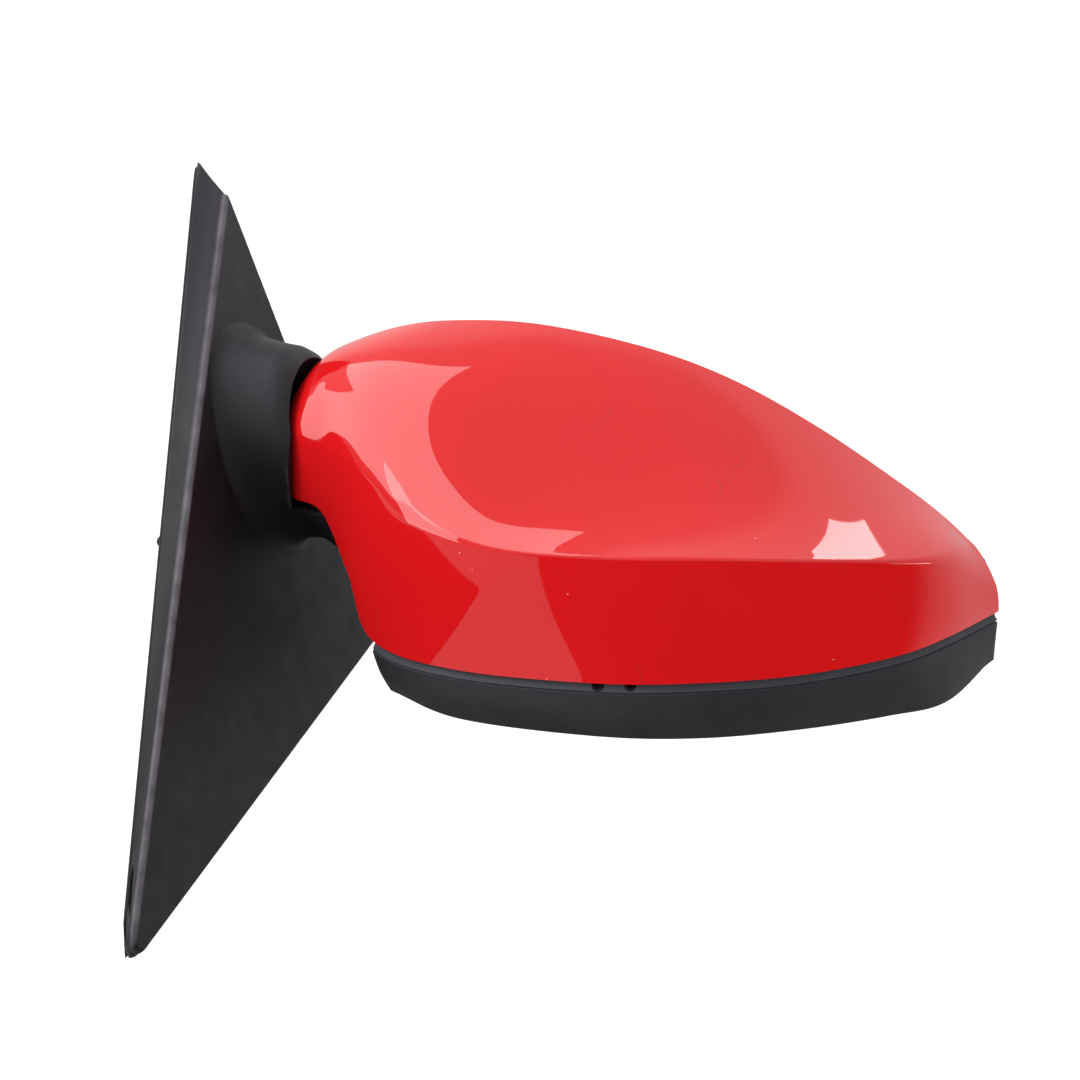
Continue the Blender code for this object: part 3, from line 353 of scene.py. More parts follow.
def settled(obj, place=ROW, weld=0.00001):
    """A plain welded mesh in place of a curve or a modified object."""
    mesh = evaluated_mesh(obj)
    mesh.transform(place)
    work = bmesh.new()
    work.from_mesh(mesh)
    bmesh.ops.remove_doubles(work, verts=work.verts, dist=weld)
    bmesh.ops.dissolve_degenerate(work, dist=weld / 4, edges=work.edges)
    bmesh.ops.recalc_face_normals(work, faces=work.faces)
    work.to_mesh(mesh)
    work.free()
    name = obj.name
    bpy.data.objects.remove(obj)
    mesh.name = name
    return link(name, mesh)


def grid_mesh(name, rows, ring=False, caps=False):
    """A mesh through rows of points in millimetres. The rows can be rings, and caps close the ends."""
    width = len(rows[0])
    points = [tuple(c * MM for c in p) for row in rows for p in row]
    faces = []
    for r in range(len(rows) - 1):
        for c in range(width if ring else width - 1):
            a, b = r * width + c, r * width + (c + 1) % width
            faces.append((a, b, b + width, a + width))
    if caps:
        faces.append(tuple(reversed(range(width))))
        faces.append(tuple(range((len(rows) - 1) * width, len(rows) * width)))
    mesh = bpy.data.meshes.new(name)
    mesh.from_pydata(points, [], faces)
    work = bmesh.new()
    work.from_mesh(mesh)
    bmesh.ops.remove_doubles(work, verts=work.verts, dist=0.00001)
    if caps:
        bmesh.ops.recalc_face_normals(work, faces=work.faces)
    work.to_mesh(mesh)
    work.free()
    return link(name, mesh)


def plate(name, outline, low, high, hole, edge=0.0):
    """A plate with a hole and rounded edges, between two distances along Y. Its outlines are (x, z)."""
    curve = bpy.data.curves.new(name, "CURVE")
    curve.dimensions = "2D"
    curve.fill_mode = "BOTH"
    curve.extrude = ((high - low) / 2 - edge) * MM
    curve.bevel_depth = edge * MM
    curve.bevel_resolution = 2
    curve.offset = -edge * MM
    for loop in (outline, hole):
        line = curve.splines.new("POLY")
        line.points.add(len(loop) - 1)
        for point, (x, z) in zip(line.points, loop):
            point.co = (x * MM, z * MM, 0, 1)
        line.use_cyclic_u = True
    middle = (low + high) / 2 * MM
    upright = Matrix(((1, 0, 0, 0), (0, 0, -1, middle), (0, 1, 0, 0), (0, 0, 0, 1)))
    return settled(link(name, curve), upright)


def cylinder(name, radius, start, end, sides=48):
    start, end = Vector(start) * MM, Vector(end) * MM
    mesh = bpy.data.meshes.new(name)
    work = bmesh.new()
    bmesh.ops.create_cone(
        work,
        cap_ends=True,
        segments=sides,
        radius1=radius * MM,
        radius2=radius * MM,
        depth=(end - start).length,
    )
    turn = (end - start).to_track_quat("Z", "Y").to_matrix().to_4x4()
    work.transform(Matrix.Translation((start + end) / 2) @ turn)
    work.to_mesh(mesh)
    work.free()
    return link(name, mesh)


def combine(obj, operation, other):
    """A Boolean with another shape, which is used up."""
    modifier = obj.modifiers.new(operation.lower(), "BOOLEAN")
    modifier.operation = operation
    modifier.solver = "EXACT"
    modifier.object = other
    made = settled(obj, weld=0.000002)
    bpy.data.objects.remove(other)
    return made


def soften(obj, width, angle):
    """Rounds the edges that are sharper than an angle in degrees."""
    bevel = obj.modifiers.new("edges", "BEVEL")
    bevel.width = width * MM
    bevel.segments = 2
    bevel.limit_method = "ANGLE"
    bevel.angle_limit = math.radians(angle)
    bevel.use_clamp_overlap = True
    return obj


def finish_piece(obj, look, body, stands_for, place=ROW, sharp=38.0):
    """Settles a piece, gives it its finish and puts it on its body in place of CAD nodes."""
    obj = settled(obj, place)
    obj.data.shade_smooth()
    obj.data.set_sharp_from_angle(angle=math.radians(sharp))
    weights = obj.modifiers.new("face_weights", "WEIGHTED_NORMAL")
    weights.keep_sharp = True
    weights.weight = 60
    obj.data.materials.clear()
    obj.data.materials.append(look)
    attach(obj, body)
    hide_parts(*stands_for)
    return obj


# ---------------------------------------------------------------- sail, neck and gasket


def on_sail(y, z, out):
    """A point of the leaning door plane, in the row frame."""
    return (out * math.cos(LEAN) - z * math.sin(LEAN), y, out * math.sin(LEAN) + z * math.cos(LEAN))


def sail_outline(share, set_back=0.0):
    corners = [
        tuple(Vector(back).lerp(Vector(face), share))
        for back, face in zip(SAIL_BACK_CORNERS, SAIL_FACE_CORNERS)
    ]
    return rounded(inset(corners, set_back), [max(0.6, radius - set_back) for radius in SAIL_CORNER_RADII])


def sail_angles():
    """Directions from the neck's centre: even steps, with the sail's corners among them."""
    steps = [2 * math.pi * i / SAIL_DIRECTIONS for i in range(SAIL_DIRECTIONS)]
    corners = [math.atan2(z, y) % (2 * math.pi) for y, z in sail_outline(1.0)]
    kept = [a for a in steps if min(abs(a - c) for c in corners) > 0.006]
    return sorted(kept + corners)


def neck_section(share, wall):
    """(half width, half height, middle z, flare) of the neck, from the sail to its tip."""
    face_x = SAIL_DEPTH / math.cos(LEAN)
    x = face_x + (PIVOT_X + FOOT_RADIUS - face_x) * share
    beyond = min(1.0, max(0.0, x - PIVOT_X) / FOOT_RADIUS)
    close = math.sqrt(1 - beyond**2)
    drop_start, drop_end = NECK_DROP_SHARES
    along = min(1.0, max(0.0, (share - drop_start) / (drop_end - drop_start)))
    ease = along * along * (3 - 2 * along)
    width, height, middle = ((1 - ease) * a + ease * b for a, b in (NECK_WIDTH, NECK_HEIGHT, NECK_MIDDLE_Z))
    flare = 0.0
    if share < NECK_FLARE_SHARE:
        flare = NECK_FLARE * (1 - math.sqrt(1 - (1 - share / NECK_FLARE_SHARE) ** 2))
    return max(0.0, width * close - wall), max(0.0, height * close - wall), middle, flare


def neck_ring(share, angles, wall):
    half_width, half_height, middle, flare = neck_section(share, wall)
    tip = PIVOT_X + FOOT_RADIUS - wall
    ring = []
    for angle in angles:
        cos, sin = math.cos(angle), math.sin(angle)
        radius = half_width * half_height / max(1e-9, math.hypot(half_height * cos, half_width * sin))
        radius += flare * (1 - NECK_FLARE_CUT * max(0.0, math.cos(angle - NECK_FLARE_HELD)))
        z = middle + radius * sin
        root = (SAIL_DEPTH - wall - z * math.sin(LEAN)) / math.cos(LEAN)
        ring.append((root + (tip - root) * share, radius * cos, z))
    return ring


def neck_shares():
    """Places of the rings: close together in the flare and round the tip."""
    face_x = SAIL_DEPTH / math.cos(LEAN)
    length = PIVOT_X + FOOT_RADIUS - face_x
    flare = [NECK_FLARE_SHARE * (1 - math.cos(math.radians(a))) for a in range(0, 91, 9)]
    first_tip = (PIVOT_X - face_x) / length
    middle = [NECK_FLARE_SHARE + (first_tip - NECK_FLARE_SHARE) * k / 8 for k in range(1, 8)]
    tip = [first_tip + FOOT_RADIUS / length * math.sin(math.radians(a)) for a in range(0, 91, 9)]
    return flare + middle + tip


def cover_solid(name, wall):
    """The sail and neck as one solid, made smaller all round by a wall's thickness."""
    angles = sail_angles()
    if wall == 0:
        back_out = GASKET + CLEAR
        side = [
            (
                SAIL_SIDE_SHARE * k / 8,
                back_out + (SAIL_SIDE_TOP - back_out) * k / 8,
                SAIL_SIDE_BULGE * math.sin(math.pi * k / 8),
            )
            for k in range(9)
        ]
    else:
        side = [(0.0, HOLLOW_BACK, 0.0), (0.42, SAIL_DEPTH * 0.46, 0.0), (0.84, SAIL_DEPTH * 0.8, 0.0)]
    turns = [math.radians(a) for a in range(0, 91, 15)]
    edge_round = [
        (1.0, SAIL_DEPTH - SAIL_EDGE_ROUND * (1 - math.sin(a)), SAIL_EDGE_ROUND * (1 - math.cos(a)))
        for a in turns
    ]
    rows = []
    for share, out, edge in side + edge_round:
        outline = sail_outline(share, edge + wall)
        rows.append([on_sail(*reach(outline, a), out - (wall if out > 0 else 0)) for a in angles])
    rows += [neck_ring(share, angles, wall) for share in neck_shares()]
    return grid_mesh(name, rows, ring=True, caps=True)


def saddle(name, grow):
    """The space that the head's round tower turns in, above the foot."""
    side = SADDLE_SIDE_X - grow
    rows = []
    for z, radius in SADDLE_PROFILE:
        radius += grow
        half_arc = math.acos(-side / radius)
        turns = [math.pi - half_arc + 2 * half_arc * i / 48 for i in range(49)]
        arc = [(radius * math.cos(a), radius * math.sin(a)) for a in turns]
        level = z - grow if z == FOOT_TOP else z
        rows.append([(x, y, level) for x, y in [(60, -60), (60, 60), (side, 60), *arc, (side, -60)]])
    return settled(grid_mesh(name, rows, ring=True, caps=True), PIVOT)


def sail_piece(look):
    outer = combine(cover_solid("sail_shell", 0.0), "DIFFERENCE", saddle("saddle", 0.0))
    hollow = combine(cover_solid("sail_hollow", SAIL_WALL), "DIFFERENCE", saddle("saddle", SAIL_WALL))
    obj = combine(outer, "DIFFERENCE", hollow)
    hole = settled(cylinder("foot_hole", BOSS_RADIUS + 0.5, (0, 0, -26), (0, 0, -18), 96), PIVOT)
    obj = combine(obj, "DIFFERENCE", hole)
    for y, z in COVER_SCREW_PLACES:
        post = settled(cylinder("post", 4.0, (PLATE + CLEAR, y, z), (SAIL_DEPTH - 1, y, z)), DOOR)
        pilot = settled(cylinder("pilot", 1.9, (PLATE - 1, y, z), (SAIL_DEPTH - 1.6, y, z)), DOOR)
        obj = combine(combine(obj, "UNION", post), "DIFFERENCE", pilot)
    return finish_piece(obj, look, "base", ["sail_cover"])


# ---------------------------------------------------------------- head shells


def station_value(index, t):
    return spline([s[index] for s in STATIONS], t)


def dome_curve(t):
    """The four control points of the cap's section, from the shoulder to the rim over the glass."""
    shoulder = station_value(0, t)
    rim_x, rim_z = station_value(2, t)
    rim = (rim_x, RIM_Y, rim_z)
    rise, slope = math.radians(station_value(3, t)), math.radians(station_value(4, t))
    way = Vector((rim[0] - shoulder[0], rim[1] - shoulder[1])).normalized()
    hold = DOME_HOLD * (Vector(rim) - Vector(shoulder)).length
    lift = (way.x * math.cos(rise), way.y * math.cos(rise), math.sin(rise))
    fall = (way.x * math.cos(slope), way.y * math.cos(slope), math.sin(slope))
    first = tuple(shoulder[k] + hold * lift[k] for k in range(3))
    second = tuple(rim[k] - hold * fall[k] for k in range(3))
    return shoulder, first, second, rim


def outward(t):
    """The level direction out of the head at the cap's lower edge."""
    ahead = Vector(station_value(1, min(t + 0.05, len(STATIONS) - 1)))
    behind = Vector(station_value(1, max(t - 0.05, 0)))
    along = (ahead - behind).to_2d().normalized()
    return Vector((along.y, -along.x, 0))


def band_point(t, share):
    """A point of the bulging upright band, from the cap's lower edge up to the shoulder line."""
    low, shoulder = Vector(station_value(1, t)), Vector(station_value(0, t))
    return low.lerp(shoulder, share) + outward(t) * spline(BAND_BULGE, t) * 4 * share * (1 - share)


def cap_section(t):
    """Points of the cap from its lower edge, over the rounded crease and the dome, to the rim."""
    dome = dome_curve(t)
    low, shoulder = Vector(station_value(1, t)), Vector(dome[0])
    rounding = spline(CREASE_ROUNDING, t)
    band_share = 1 - rounding / (shoulder - low).length
    dome_share = rounding / (3 * (Vector(dome[1]) - shoulder).length)
    points = [band_point(t, band_share * k / BAND_STEPS) for k in range(BAND_STEPS)]
    corner = (band_point(t, band_share), shoulder, bezier(dome, dome_share))
    points += [bezier(corner, k / CORNER_STEPS) for k in range(CORNER_STEPS)]
    dome_steps = range(DOME_STEPS + 1)
    points += [bezier(dome, dome_share + (1 - dome_share) * k / DOME_STEPS) for k in dome_steps]
    return points


def head_columns(first, last, per_station=14):
    return [first + i / per_station for i in range((last - first) * per_station + 1)]


def head_shell(name, rows):
    """A walled surface whose rear edge is kept flat at the rim plane, still in the head frame."""
    obj = grid_mesh(name, rows)
    wall = obj.modifiers.new("wall", "SOLIDIFY")
    wall.thickness = SHELL * MM
    wall.offset = -1
    wall.use_even_offset = True
    obj = settled(obj)
    for vertex in obj.data.vertices:
        vertex.co.y = min(vertex.co.y, RIM_Y * MM)
    return obj


def cap_piece(look):
    sections = [cap_section(t) for t in head_columns(0, len(STATIONS) - 1)]
    rows = [list(row) for row in zip(*sections)]
    obj = soften(head_shell("painted_cap", rows), 0.5, 60.0)
    return finish_piece(obj, look, "head", ["mirror_cap"], HEAD)


def below_cap(t, inward, down):
    """A point below the cap's lower edge, moved towards the inside of the head."""
    point = Vector(station_value(1, t)) - outward(t) * inward
    return Vector((point.x, min(point.y, RIM_Y), point.z - down))


def trim_section(t):
    """Points of the trim from the floor's rear edge, round the bottom corner and up to its lip."""
    last = len(STATIONS) - 1
    corner = Vector(spline(TRIM_BOTTOM, t - TRIM_START))
    share = (t - TRIM_START) / (last - TRIM_START)
    rear_x = FLOOR_INBOARD_X + (TRIM_BOTTOM[-1][0] - FLOOR_INBOARD_X) * share
    rear = Vector((rear_x, RIM_Y, FLOOR_Z + (corner.z - FLOOR_Z) * share**4))
    top = below_cap(t, *TRIM_LIP[0])
    start = corner.lerp(rear, min(0.3, TRIM_CORNER / max(1.0, (corner - rear).length)))
    end = corner.lerp(top, TRIM_CORNER / (top - corner).length)
    points = [rear.lerp(start, k / 12) for k in range(12)]
    points += [bezier((start, corner, end), k / CORNER_STEPS) for k in range(CORNER_STEPS)]
    for k in range(13):
        point = end.lerp(top, k / 13)
        point.y = min(RIM_Y, point.y - TRIM_BULGE * math.sin(math.pi * k / 13))
        points.append(point)
    points += [below_cap(t, inward, down) for inward, down in TRIM_LIP]
    for point in points:
        point.y = min(RIM_Y, point.y)
    return points


def trim_piece(look):
    sections = [trim_section(t) for t in head_columns(TRIM_START, len(STATIONS) - 1)]
    rows = [list(row) for row in zip(*sections)]
    obj = head_shell("trim_shell", rows)
    shroud = cylinder("shroud_space", SHROUD_RADIUS + SHELL + CLEAR, (0, 0, -90), (0, 0, 0), 128)
    obj = combine(obj, "DIFFERENCE", shroud)
    for x, z in NOTCH_PLACES:
        notch = cylinder("notch", NOTCH_RADIUS, (x, NOTCH_Y[0], z), (x, NOTCH_Y[1], z), 32)
        obj = combine(obj, "DIFFERENCE", notch)
    return finish_piece(obj, look, "head", ["lower_housing"], HEAD)


def bezel_piece(look):
    across = head_columns(0, len(STATIONS) - 1, 8)
    top = [station_value(2, t) for t in across]
    outline = BEZEL_INNER_END[-1:] + BEZEL_OUTER_END + top[::-1] + BEZEL_INNER_END[:-1]
    opening = closed_spline(OPENING, 10)
    obj = plate("bezel_frame", inset(outline, BEZEL_SET_BACK), RIM_Y + CLEAR, BEZEL_Y, opening, edge=0.7)
    skirt = plate("skirt", inset(opening, -2.2), SKIRT_Y, BEZEL_Y - 0.9, inset(opening, -0.01))
    obj = combine(obj, "UNION", skirt)
    return finish_piece(obj, look, "head", ["rear_bezel"], HEAD)


def glass_piece(look):
    """The glass, a little convex, with a ground edge."""
    outline = [(x - UNIT_X, z - UNIT_Z) for x, z in clear_inset(closed_spline(OPENING, 8), GLASS_INSET)]

    def ring(share, y):
        shrunk = [(x * share, z * share) for x, z in outline]
        return [(x, y - x**2 / (2 * GLASS_RADIUS) - z**2 / (2 * GLASS_RADIUS), z) for x, z in shrunk]

    rows = [[(x * s, GLASS_BACK_Y, z * s) for x, z in outline] for s in (0.02, 0.5, 0.99, 1.0)]
    rows += [ring(share, y) for share, y in GLASS_GROUND_EDGE]
    rows += [ring(s / 20, GLASS_FACE_Y) for s in range(19, 0, -1)]
    rows.append(ring(0.01, GLASS_FACE_Y))
    obj = grid_mesh("glass_face", rows, ring=True, caps=True)
    return finish_piece(obj, look, "glass", ["mirror_glass"], UNIT)


def gasket_piece(look):
    """The seal round the sail's back, with a soft lip that bulges below the lower edge."""
    angles = sail_angles()
    rows = []
    for step_in, out, share in SEAL_PROFILE:
        ring = []
        for angle in angles:
            y, z = reach(rounded(inset(SAIL_BACK_CORNERS, SEAL_SET_BACK + step_in), SEAL_CORNER_RADII), angle)
            if z < SEAL_LIP_TOP:
                along = min(len(SEAL_LIP) - 1, max(0.0, (y - SEAL_LIP_START) / SEAL_LIP_STEP))
                z -= share * spline(SEAL_LIP, along)
            ring.append(on_sail(y, z, out))
        rows.append(ring)
    rows.append(rows[0])
    obj = grid_mesh("door_seal", rows, ring=True)
    return finish_piece(obj, look, "base", ["door_gasket"], sharp=60.0)


# ---------------------------------------------------------------- materials


def add(tree, kind, inputs=None, **settings):
    """A node with its settings, whose inputs are values or other nodes' outputs."""
    node = tree.nodes.new(kind)
    for key, value in settings.items():
        setattr(node, key, value)
    for socket, value in (inputs or {}).items():
        if isinstance(value, bpy.types.NodeSocket):
            tree.links.new(value, node.inputs[socket])
        else:
            node.inputs[socket].default_value = value
    return node


def blank(name):
    material = bpy.data.materials.new(name)
    material.use_nodes = True
    tree = material.node_tree
    return material, tree, tree.nodes["Principled BSDF"]


MOTTLE_MM = 35.0
SCRATCH_STRETCH = (1.0, 1.0, 0.12)


def object_coords(tree):
    return add(tree, "ShaderNodeTexCoord").outputs["Object"]


def noise(tree, size_mm, detail=2.0, roughness=0.5, stretch=None):
    """Noise whose blobs are about a size across."""
    coords = object_coords(tree)
    if stretch:
        coords = add(tree, "ShaderNodeMapping", {"Vector": coords, "Scale": stretch}).outputs[0]
    inputs = {"Vector": coords, "Scale": 1000.0 / size_mm, "Detail": detail, "Roughness": roughness}
    return add(tree, "ShaderNodeTexNoise", inputs).outputs["Fac"]


def ramp(tree, value, low, high, start=0.0, end=1.0):
    """Maps a value's range onto another, held at its ends."""
    inputs = {"Value": value, "From Min": low, "From Max": high, "To Min": start, "To Max": end}
    return add(tree, "ShaderNodeMapRange", inputs, clamp=True).outputs[0]


def mix_colour(tree, share, a, b):
    node = add(tree, "ShaderNodeMix", data_type="RGBA")
    for socket, value in ((node.inputs[0], share), (node.inputs[6], a), (node.inputs[7], b)):
        if isinstance(value, bpy.types.NodeSocket):
            tree.links.new(value, socket)
        else:
            socket.default_value = (*value, 1.0) if isinstance(value, tuple) else value
    return node.outputs[2]


def bump(tree, shader, height, depth_mm):
    inputs = {"Height": height, "Distance": depth_mm * MM, "Strength": 1.0}
    tree.links.new(add(tree, "ShaderNodeBump", inputs).outputs[0], shader.inputs["Normal"])


def paint_look():
    """Solid red under a clear coat, with a faint orange peel, dust, chips and fine scratches."""
    material, tree, shader = blank("red_paint")
    patches = ramp(tree, noise(tree, 60), 0.3, 0.7)
    base = mix_colour(tree, patches, (0.585, 0.0062, 0.0078), (0.61, 0.0075, 0.0095))
    cells = {"Vector": object_coords(tree), "Scale": 190.0}
    specks = add(tree, "ShaderNodeTexVoronoi", cells).outputs["Distance"]
    speck_mask = ramp(tree, specks, 0.055, 0.04)
    rare = ramp(tree, noise(tree, 9), 0.64, 0.68)
    speck = add(tree, "ShaderNodeMath", {0: speck_mask, 1: rare}, operation="MULTIPLY").outputs[0]
    chipped = mix_colour(tree, speck, base, (0.80, 0.36, 0.33))
    lines = ramp(tree, noise(tree, 26, 1.0, 0.5, SCRATCH_STRETCH), 0.4975, 0.5)
    lines_end = ramp(tree, noise(tree, 26, 1.0, 0.5, SCRATCH_STRETCH), 0.5025, 0.5)
    line = add(tree, "ShaderNodeMath", {0: lines, 1: lines_end}, operation="MULTIPLY").outputs[0]
    seldom = ramp(tree, noise(tree, 22), 0.61, 0.65)
    scratch = add(tree, "ShaderNodeMath", {0: line, 1: seldom}, operation="MULTIPLY").outputs[0]
    colour = mix_colour(tree, scratch, chipped, (0.30, 0.02, 0.02))
    tree.links.new(colour, shader.inputs["Base Color"])
    shader.inputs["Roughness"].default_value = 0.6
    shader.inputs["Specular IOR Level"].default_value = 0.0
    shader.inputs["Coat Weight"].default_value = 1.0
    shader.inputs["Coat Roughness"].default_value = 0.03
    shader.inputs["Coat IOR"].default_value = 1.5
    bump(tree, shader, noise(tree, 2.2, 1.0), 0.003)
    return material


def plastic_look(name, dark, light, roughness, grain_mm, grain_depth, shine=0.5):
    """Moulded plastic with a mottled colour, an uneven sheen and a fine spark-eroded grain."""
    material, tree, shader = blank(name)
    mottle = ramp(tree, noise(tree, MOTTLE_MM, 4.0), 0.3, 0.7)
    tree.links.new(mix_colour(tree, mottle, dark, light), shader.inputs["Base Color"])
    sheen = ramp(tree, noise(tree, MOTTLE_MM / 4, 3.0), 0.3, 0.7, roughness - 0.05, roughness + 0.06)
    tree.links.new(sheen, shader.inputs["Roughness"])
    shader.inputs["Specular IOR Level"].default_value = shine
    bump(tree, shader, noise(tree, grain_mm, 2.0), grain_depth)
    return material


def near(tree, value, middle, reach):
    """1 where a value is at the middle, down to 0 a reach away."""
    away = add(tree, "ShaderNodeMath", {0: value, 1: middle}, operation="SUBTRACT").outputs[0]
    away = add(tree, "ShaderNodeMath", {0: away}, operation="ABSOLUTE").outputs[0]
    return ramp(tree, away, reach * 0.35, reach, 1.0, 0.0)


def ridge(tree):
    """Where the sail's face meets its long sloping side."""
    (y0, z0), (y1, z1) = SAIL_FACE_CORNERS[0], SAIL_FACE_CORNERS[2]
    across = Vector((z0 - z1, y1 - y0)).normalized()
    distance = across.dot(Vector((y0, z0))) * MM
    out_way = DOOR.to_3x3() @ Vector((1, 0, 0))
    across_way = DOOR.to_3x3() @ Vector((0, across.x, across.y))
    place = object_coords(tree)
    out, beside = (
        add(tree, "ShaderNodeVectorMath", {0: place, 1: way}, operation="DOT_PRODUCT").outputs["Value"]
        for way in (out_way, across_way)
    )
    masks = {0: near(tree, out, 11.5 * MM, 2.2 * MM), 1: near(tree, beside, distance - 0.6 * MM, 1.5 * MM)}
    return add(tree, "ShaderNodeMath", masks, operation="MULTIPLY").outputs[0]


def add_wear_and_painted_light(material, edge, top=None, heights=(0.0, 0.1), painted_up_highlight=None, ridge_wear_and_highlight=None):
    """Adds scuffed edges and, where they are given, painted light and wear: a top painted paler, a painted
    bluish highlight on what faces up, and a worn ridge with a painted highlight.
    """
    tree = material.node_tree
    shader = tree.nodes["Principled BSDF"]
    colour = shader.inputs["Base Color"].links[0].from_socket
    geometry = add(tree, "ShaderNodeNewGeometry")
    # Painted light: the colour is ramped paler towards the top, where the light falls on it.
    if top:
        height = add(tree, "ShaderNodeSeparateXYZ", {"Vector": object_coords(tree)}).outputs["Z"]
        colour = mix_colour(tree, ramp(tree, height, *heights), colour, top)
    # Painted highlight: faces that point up are turned bluish grey, a painted reflection of the light above.
    if painted_up_highlight:
        up = add(tree, "ShaderNodeSeparateXYZ", {"Vector": geometry.outputs["Normal"]}).outputs["Z"]
        colour = mix_colour(tree, ramp(tree, up, 0.3, 0.75), colour, painted_up_highlight)
    sharpness = ramp(tree, geometry.outputs["Pointiness"], 0.53, 0.62)
    broken = ramp(tree, noise(tree, 5.0, 4.0), 0.35, 0.65, 0.35, 1.0)
    worn = add(tree, "ShaderNodeMath", {0: sharpness, 1: broken}, operation="MULTIPLY").outputs[0]
    colour = mix_colour(tree, worn, colour, edge)
    # The sail's ridge is lightened: partly wear, partly a painted highlight where the rounded edge catches
    # the light.
    if ridge_wear_and_highlight:
        scuffs = ramp(tree, noise(tree, 7.0, 4.0), 0.3, 0.7, 0.45, 1.0)
        ridge_wear_and_highlight_mask = add(tree, "ShaderNodeMath", {0: ridge(tree), 1: scuffs}, operation="MULTIPLY").outputs[0]
        colour = mix_colour(tree, ridge_wear_and_highlight_mask, colour, ridge_wear_and_highlight)
    tree.links.new(colour, shader.inputs["Base Color"])


def metal_look(name, dark, light, low, high, grain_mm, depth, stretch=None):
    material, tree, shader = blank(name)
    shader.inputs["Metallic"].default_value = 1.0
    streaks = noise(tree, grain_mm, 3.0, 0.6, stretch)
    colour = mix_colour(tree, ramp(tree, streaks, 0.3, 0.7), dark, light)
    tree.links.new(colour, shader.inputs["Base Color"])
    sheen = ramp(tree, noise(tree, grain_mm * 6, 3.0), 0.3, 0.7, low, high)
    tree.links.new(sheen, shader.inputs["Roughness"])
    bump(tree, shader, streaks, depth)
    return material


def mirror_look():
    """Silvered glass, with the faintest smears."""
    material, tree, shader = blank("mirror_silver")
    shader.inputs["Metallic"].default_value = 1.0
    smears = ramp(tree, noise(tree, 30, 3.0), 0.45, 0.8)
    colour = mix_colour(tree, smears, (0.86, 0.88, 0.91), (0.82, 0.84, 0.87))
    tree.links.new(colour, shader.inputs["Base Color"])
    tree.links.new(ramp(tree, smears, 0.0, 1.0, 0.015, 0.05), shader.inputs["Roughness"])
    return material


def foil_look():
    """Printed heater foil: copper-brown with finer tracks."""
    material, tree, shader = blank("heater_foil")
    inputs = {"Vector": object_coords(tree), "Scale": 60.0, "Distortion": 0.6}
    tracks = add(tree, "ShaderNodeTexWave", inputs, bands_direction="Z").outputs["Fac"]
    colour = mix_colour(tree, ramp(tree, tracks, 0.45, 0.55), (0.30, 0.16, 0.06), (0.05, 0.045, 0.04))
    tree.links.new(colour, shader.inputs["Base Color"])
    shader.inputs["Roughness"].default_value = 0.45
    return material


def make_looks():
    black = plastic_look(
        "black_plastic", (0.0060, 0.0060, 0.0078), (0.0095, 0.009, 0.0115), 0.52, 0.45, 0.02, shine=0.18
    )
    # The black plastic gets scuffed edges, a top painted paler and a worn ridge with a painted highlight.
    add_wear_and_painted_light(
        black,
        edge=(0.11, 0.105, 0.115),
        top=(0.030, 0.026, 0.033),
        heights=(0.0, 0.075),
        ridge_wear_and_highlight=(0.115, 0.105, 0.12),
    )
    trim = plastic_look(
        "trim_plastic", (0.019, 0.0175, 0.021), (0.025, 0.0235, 0.027), 0.56, 0.6, 0.03, shine=0.3
    )
    # The trim gets scuffed edges and a painted bluish highlight on what faces up.
    add_wear_and_painted_light(trim, edge=(0.05, 0.05, 0.055), painted_up_highlight=(0.046, 0.052, 0.066))
    rubber = plastic_look("rubber", (0.012, 0.012, 0.012), (0.02, 0.019, 0.02), 0.7, 0.8, 0.03, shine=0.3)
    cast = metal_look("cast_aluminium", (0.42, 0.43, 0.45), (0.56, 0.57, 0.58), 0.42, 0.6, 1.2, 0.05)
    steel = metal_look("steel", (0.42, 0.42, 0.43), (0.58, 0.58, 0.6), 0.22, 0.38, 0.7, 0.008, (1, 1, 8))
    return {
        "red_paint": paint_look(),
        "black_plastic": black,
        "trim_plastic": trim,
        "rubber": rubber,
        "cast_aluminium": cast,
        "steel": steel,
        "nylon": plastic_look("nylon", (0.62, 0.60, 0.53), (0.72, 0.70, 0.63), 0.45, 0.8, 0.01),
        "heater_foil": foil_look(),
        "mirror_silver": mirror_look(),
    }


# ---------------------------------------------------------------- stage and light

FLOOR_DROP = 0.28
FLOOR_SIZE = 60.0
LIT_CENTRE = Vector((0.14, -0.02, -0.01))
LAMP_TARGET = (0.12, 0.0, -0.02)
LAMP_SIZE = (0.9, 0.9)


def area_light(name, place, target, size, power):
    data = bpy.data.lights.new(name, "AREA")
    data.shape = "RECTANGLE"
    data.size, data.size_y = size
    data.energy = power
    light = bpy.data.objects.new(name, data)
    bpy.context.scene.collection.objects.link(light)
    light.location = place
    light.rotation_euler = (Vector(target) - Vector(place)).to_track_quat("-Z", "Y").to_euler()
    light.visible_camera = False
    return light


def make_stage():
    lowest = min(CAD_BOX[0][2], CAD_BOX[1][2])
    mesh = bpy.data.meshes.new("floor")
    work = bmesh.new()
    bmesh.ops.create_grid(work, x_segments=4, y_segments=4, size=FLOOR_SIZE)
    work.to_mesh(mesh)
    work.free()
    floor = link("floor", mesh)
    floor.location = (0.1, 0, lowest - FLOOR_DROP)
    floor.visible_glossy = False
    material, tree, shader = blank("pale_floor")
    shade = ramp(tree, noise(tree, 400), 0.2, 0.8)
    colour = mix_colour(tree, shade, (0.93, 0.93, 0.93), (0.95, 0.95, 0.95))
    tree.links.new(colour, shader.inputs["Base Color"])
    shader.inputs["Roughness"].default_value = 0.9
    mesh.materials.append(material)


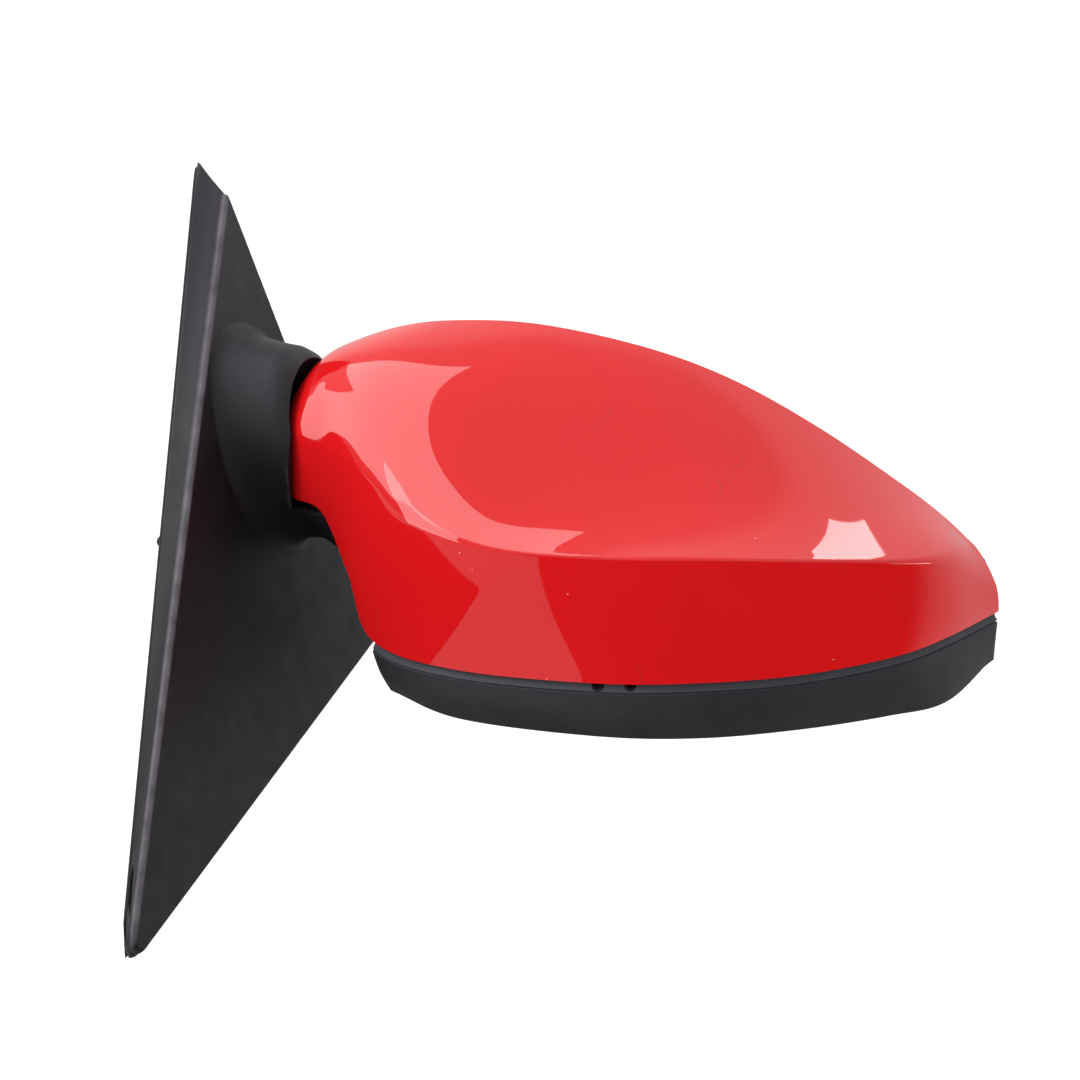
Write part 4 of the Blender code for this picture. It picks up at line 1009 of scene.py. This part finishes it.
def make_world():
    """Even white above; below the horizon it is dark in front and paler behind and to the left."""
    world = bpy.data.worlds.new("studio")
    bpy.context.scene.world = world
    world.use_nodes = True
    tree = world.node_tree
    way = add(tree, "ShaderNodeSeparateXYZ", {"Vector": add(tree, "ShaderNodeTexCoord").outputs["Generated"]})
    below = ramp(tree, way.outputs["Y"], 0.1, 0.6, 0.03, 0.8)
    above = ramp(tree, way.outputs["Y"], 0.57, 0.67, 0.90, 1.25)
    rise = ramp(tree, way.outputs["Z"], -0.22, 0.22)
    level = add(tree, "ShaderNodeMapRange", {"Value": rise, "To Min": below, "To Max": above}).outputs[0]
    tree.links.new(level, tree.nodes["Background"].inputs["Strength"])
    tree.nodes["Background"].inputs["Color"].default_value = (1, 1, 1, 1)


def panel(name, azimuth, elevation, distance, size, brightness, across=0.0, up=0.0, shines_on_all=True):
    """A softbox facing the head, moved across and up in its own plane.

    Azimuth 0 is straight in front of the head and 90 is beyond its outboard end.
    """
    azimuth, elevation = math.radians(azimuth), math.radians(elevation)
    level = math.cos(elevation)
    way = Vector((math.sin(azimuth) * level, -math.cos(azimuth) * level, math.sin(elevation)))
    power = brightness * math.pi * size[0] * size[1]
    light = area_light(name, LIT_CENTRE + way * distance, LIT_CENTRE, size, power)
    side = Vector((math.cos(azimuth), math.sin(azimuth), 0))
    light.location += side * across + way.cross(side) * up
    light.visible_diffuse = shines_on_all


def make_lights():
    panel("left_softbox", -90, 42, 1.5, (2.1, 1.48), 3.3, 0.30, 0.39, shines_on_all=False)
    panel("left_softbox_foot", -90, 42, 1.5, (1.5, 0.85), 3.3, 0.60, -0.765, shines_on_all=False)
    panel("strip_softbox", -49, 4, 1.5, (0.30, 0.9), 4.0, shines_on_all=False)
    panel("low_reflector", -47, -28, 0.75, (0.95, 0.62), 0.75, shines_on_all=False)
    panel("back_softbox", 164, 32, 1.3, (0.17, 0.17), 6.5)
    panel("end_strip", 104, -10, 1.3, (0.55, 0.07), 8.0)
    top = area_light("top", (-0.2, 0.15, 1.75), LAMP_TARGET, LAMP_SIZE, 6)
    fill = area_light("left_fill", (-1.16, -0.71, 1.02), LAMP_TARGET, LAMP_SIZE, 19)
    top.visible_glossy = fill.visible_glossy = False


def main():
    bpy.context.scene.view_settings.view_transform = "Standard"
    make_camera()
    looks = make_looks()
    sail_piece(looks["black_plastic"])
    gasket_piece(looks["rubber"])
    cap_piece(looks["red_paint"])
    trim_piece(looks["trim_plastic"])
    bezel_piece(looks["black_plastic"])
    glass_piece(looks["mirror_silver"])
    slots = {row["node"]: row["material_slot"] for row in frame["record"]["subparts"]}
    for name, node in NODES.items():
        if not node.hide_render:
            node.data.materials.clear()
            node.data.materials.append(looks[slots.get(name, "black_plastic")])
    make_stage()
    make_world()
    make_lights()


main()
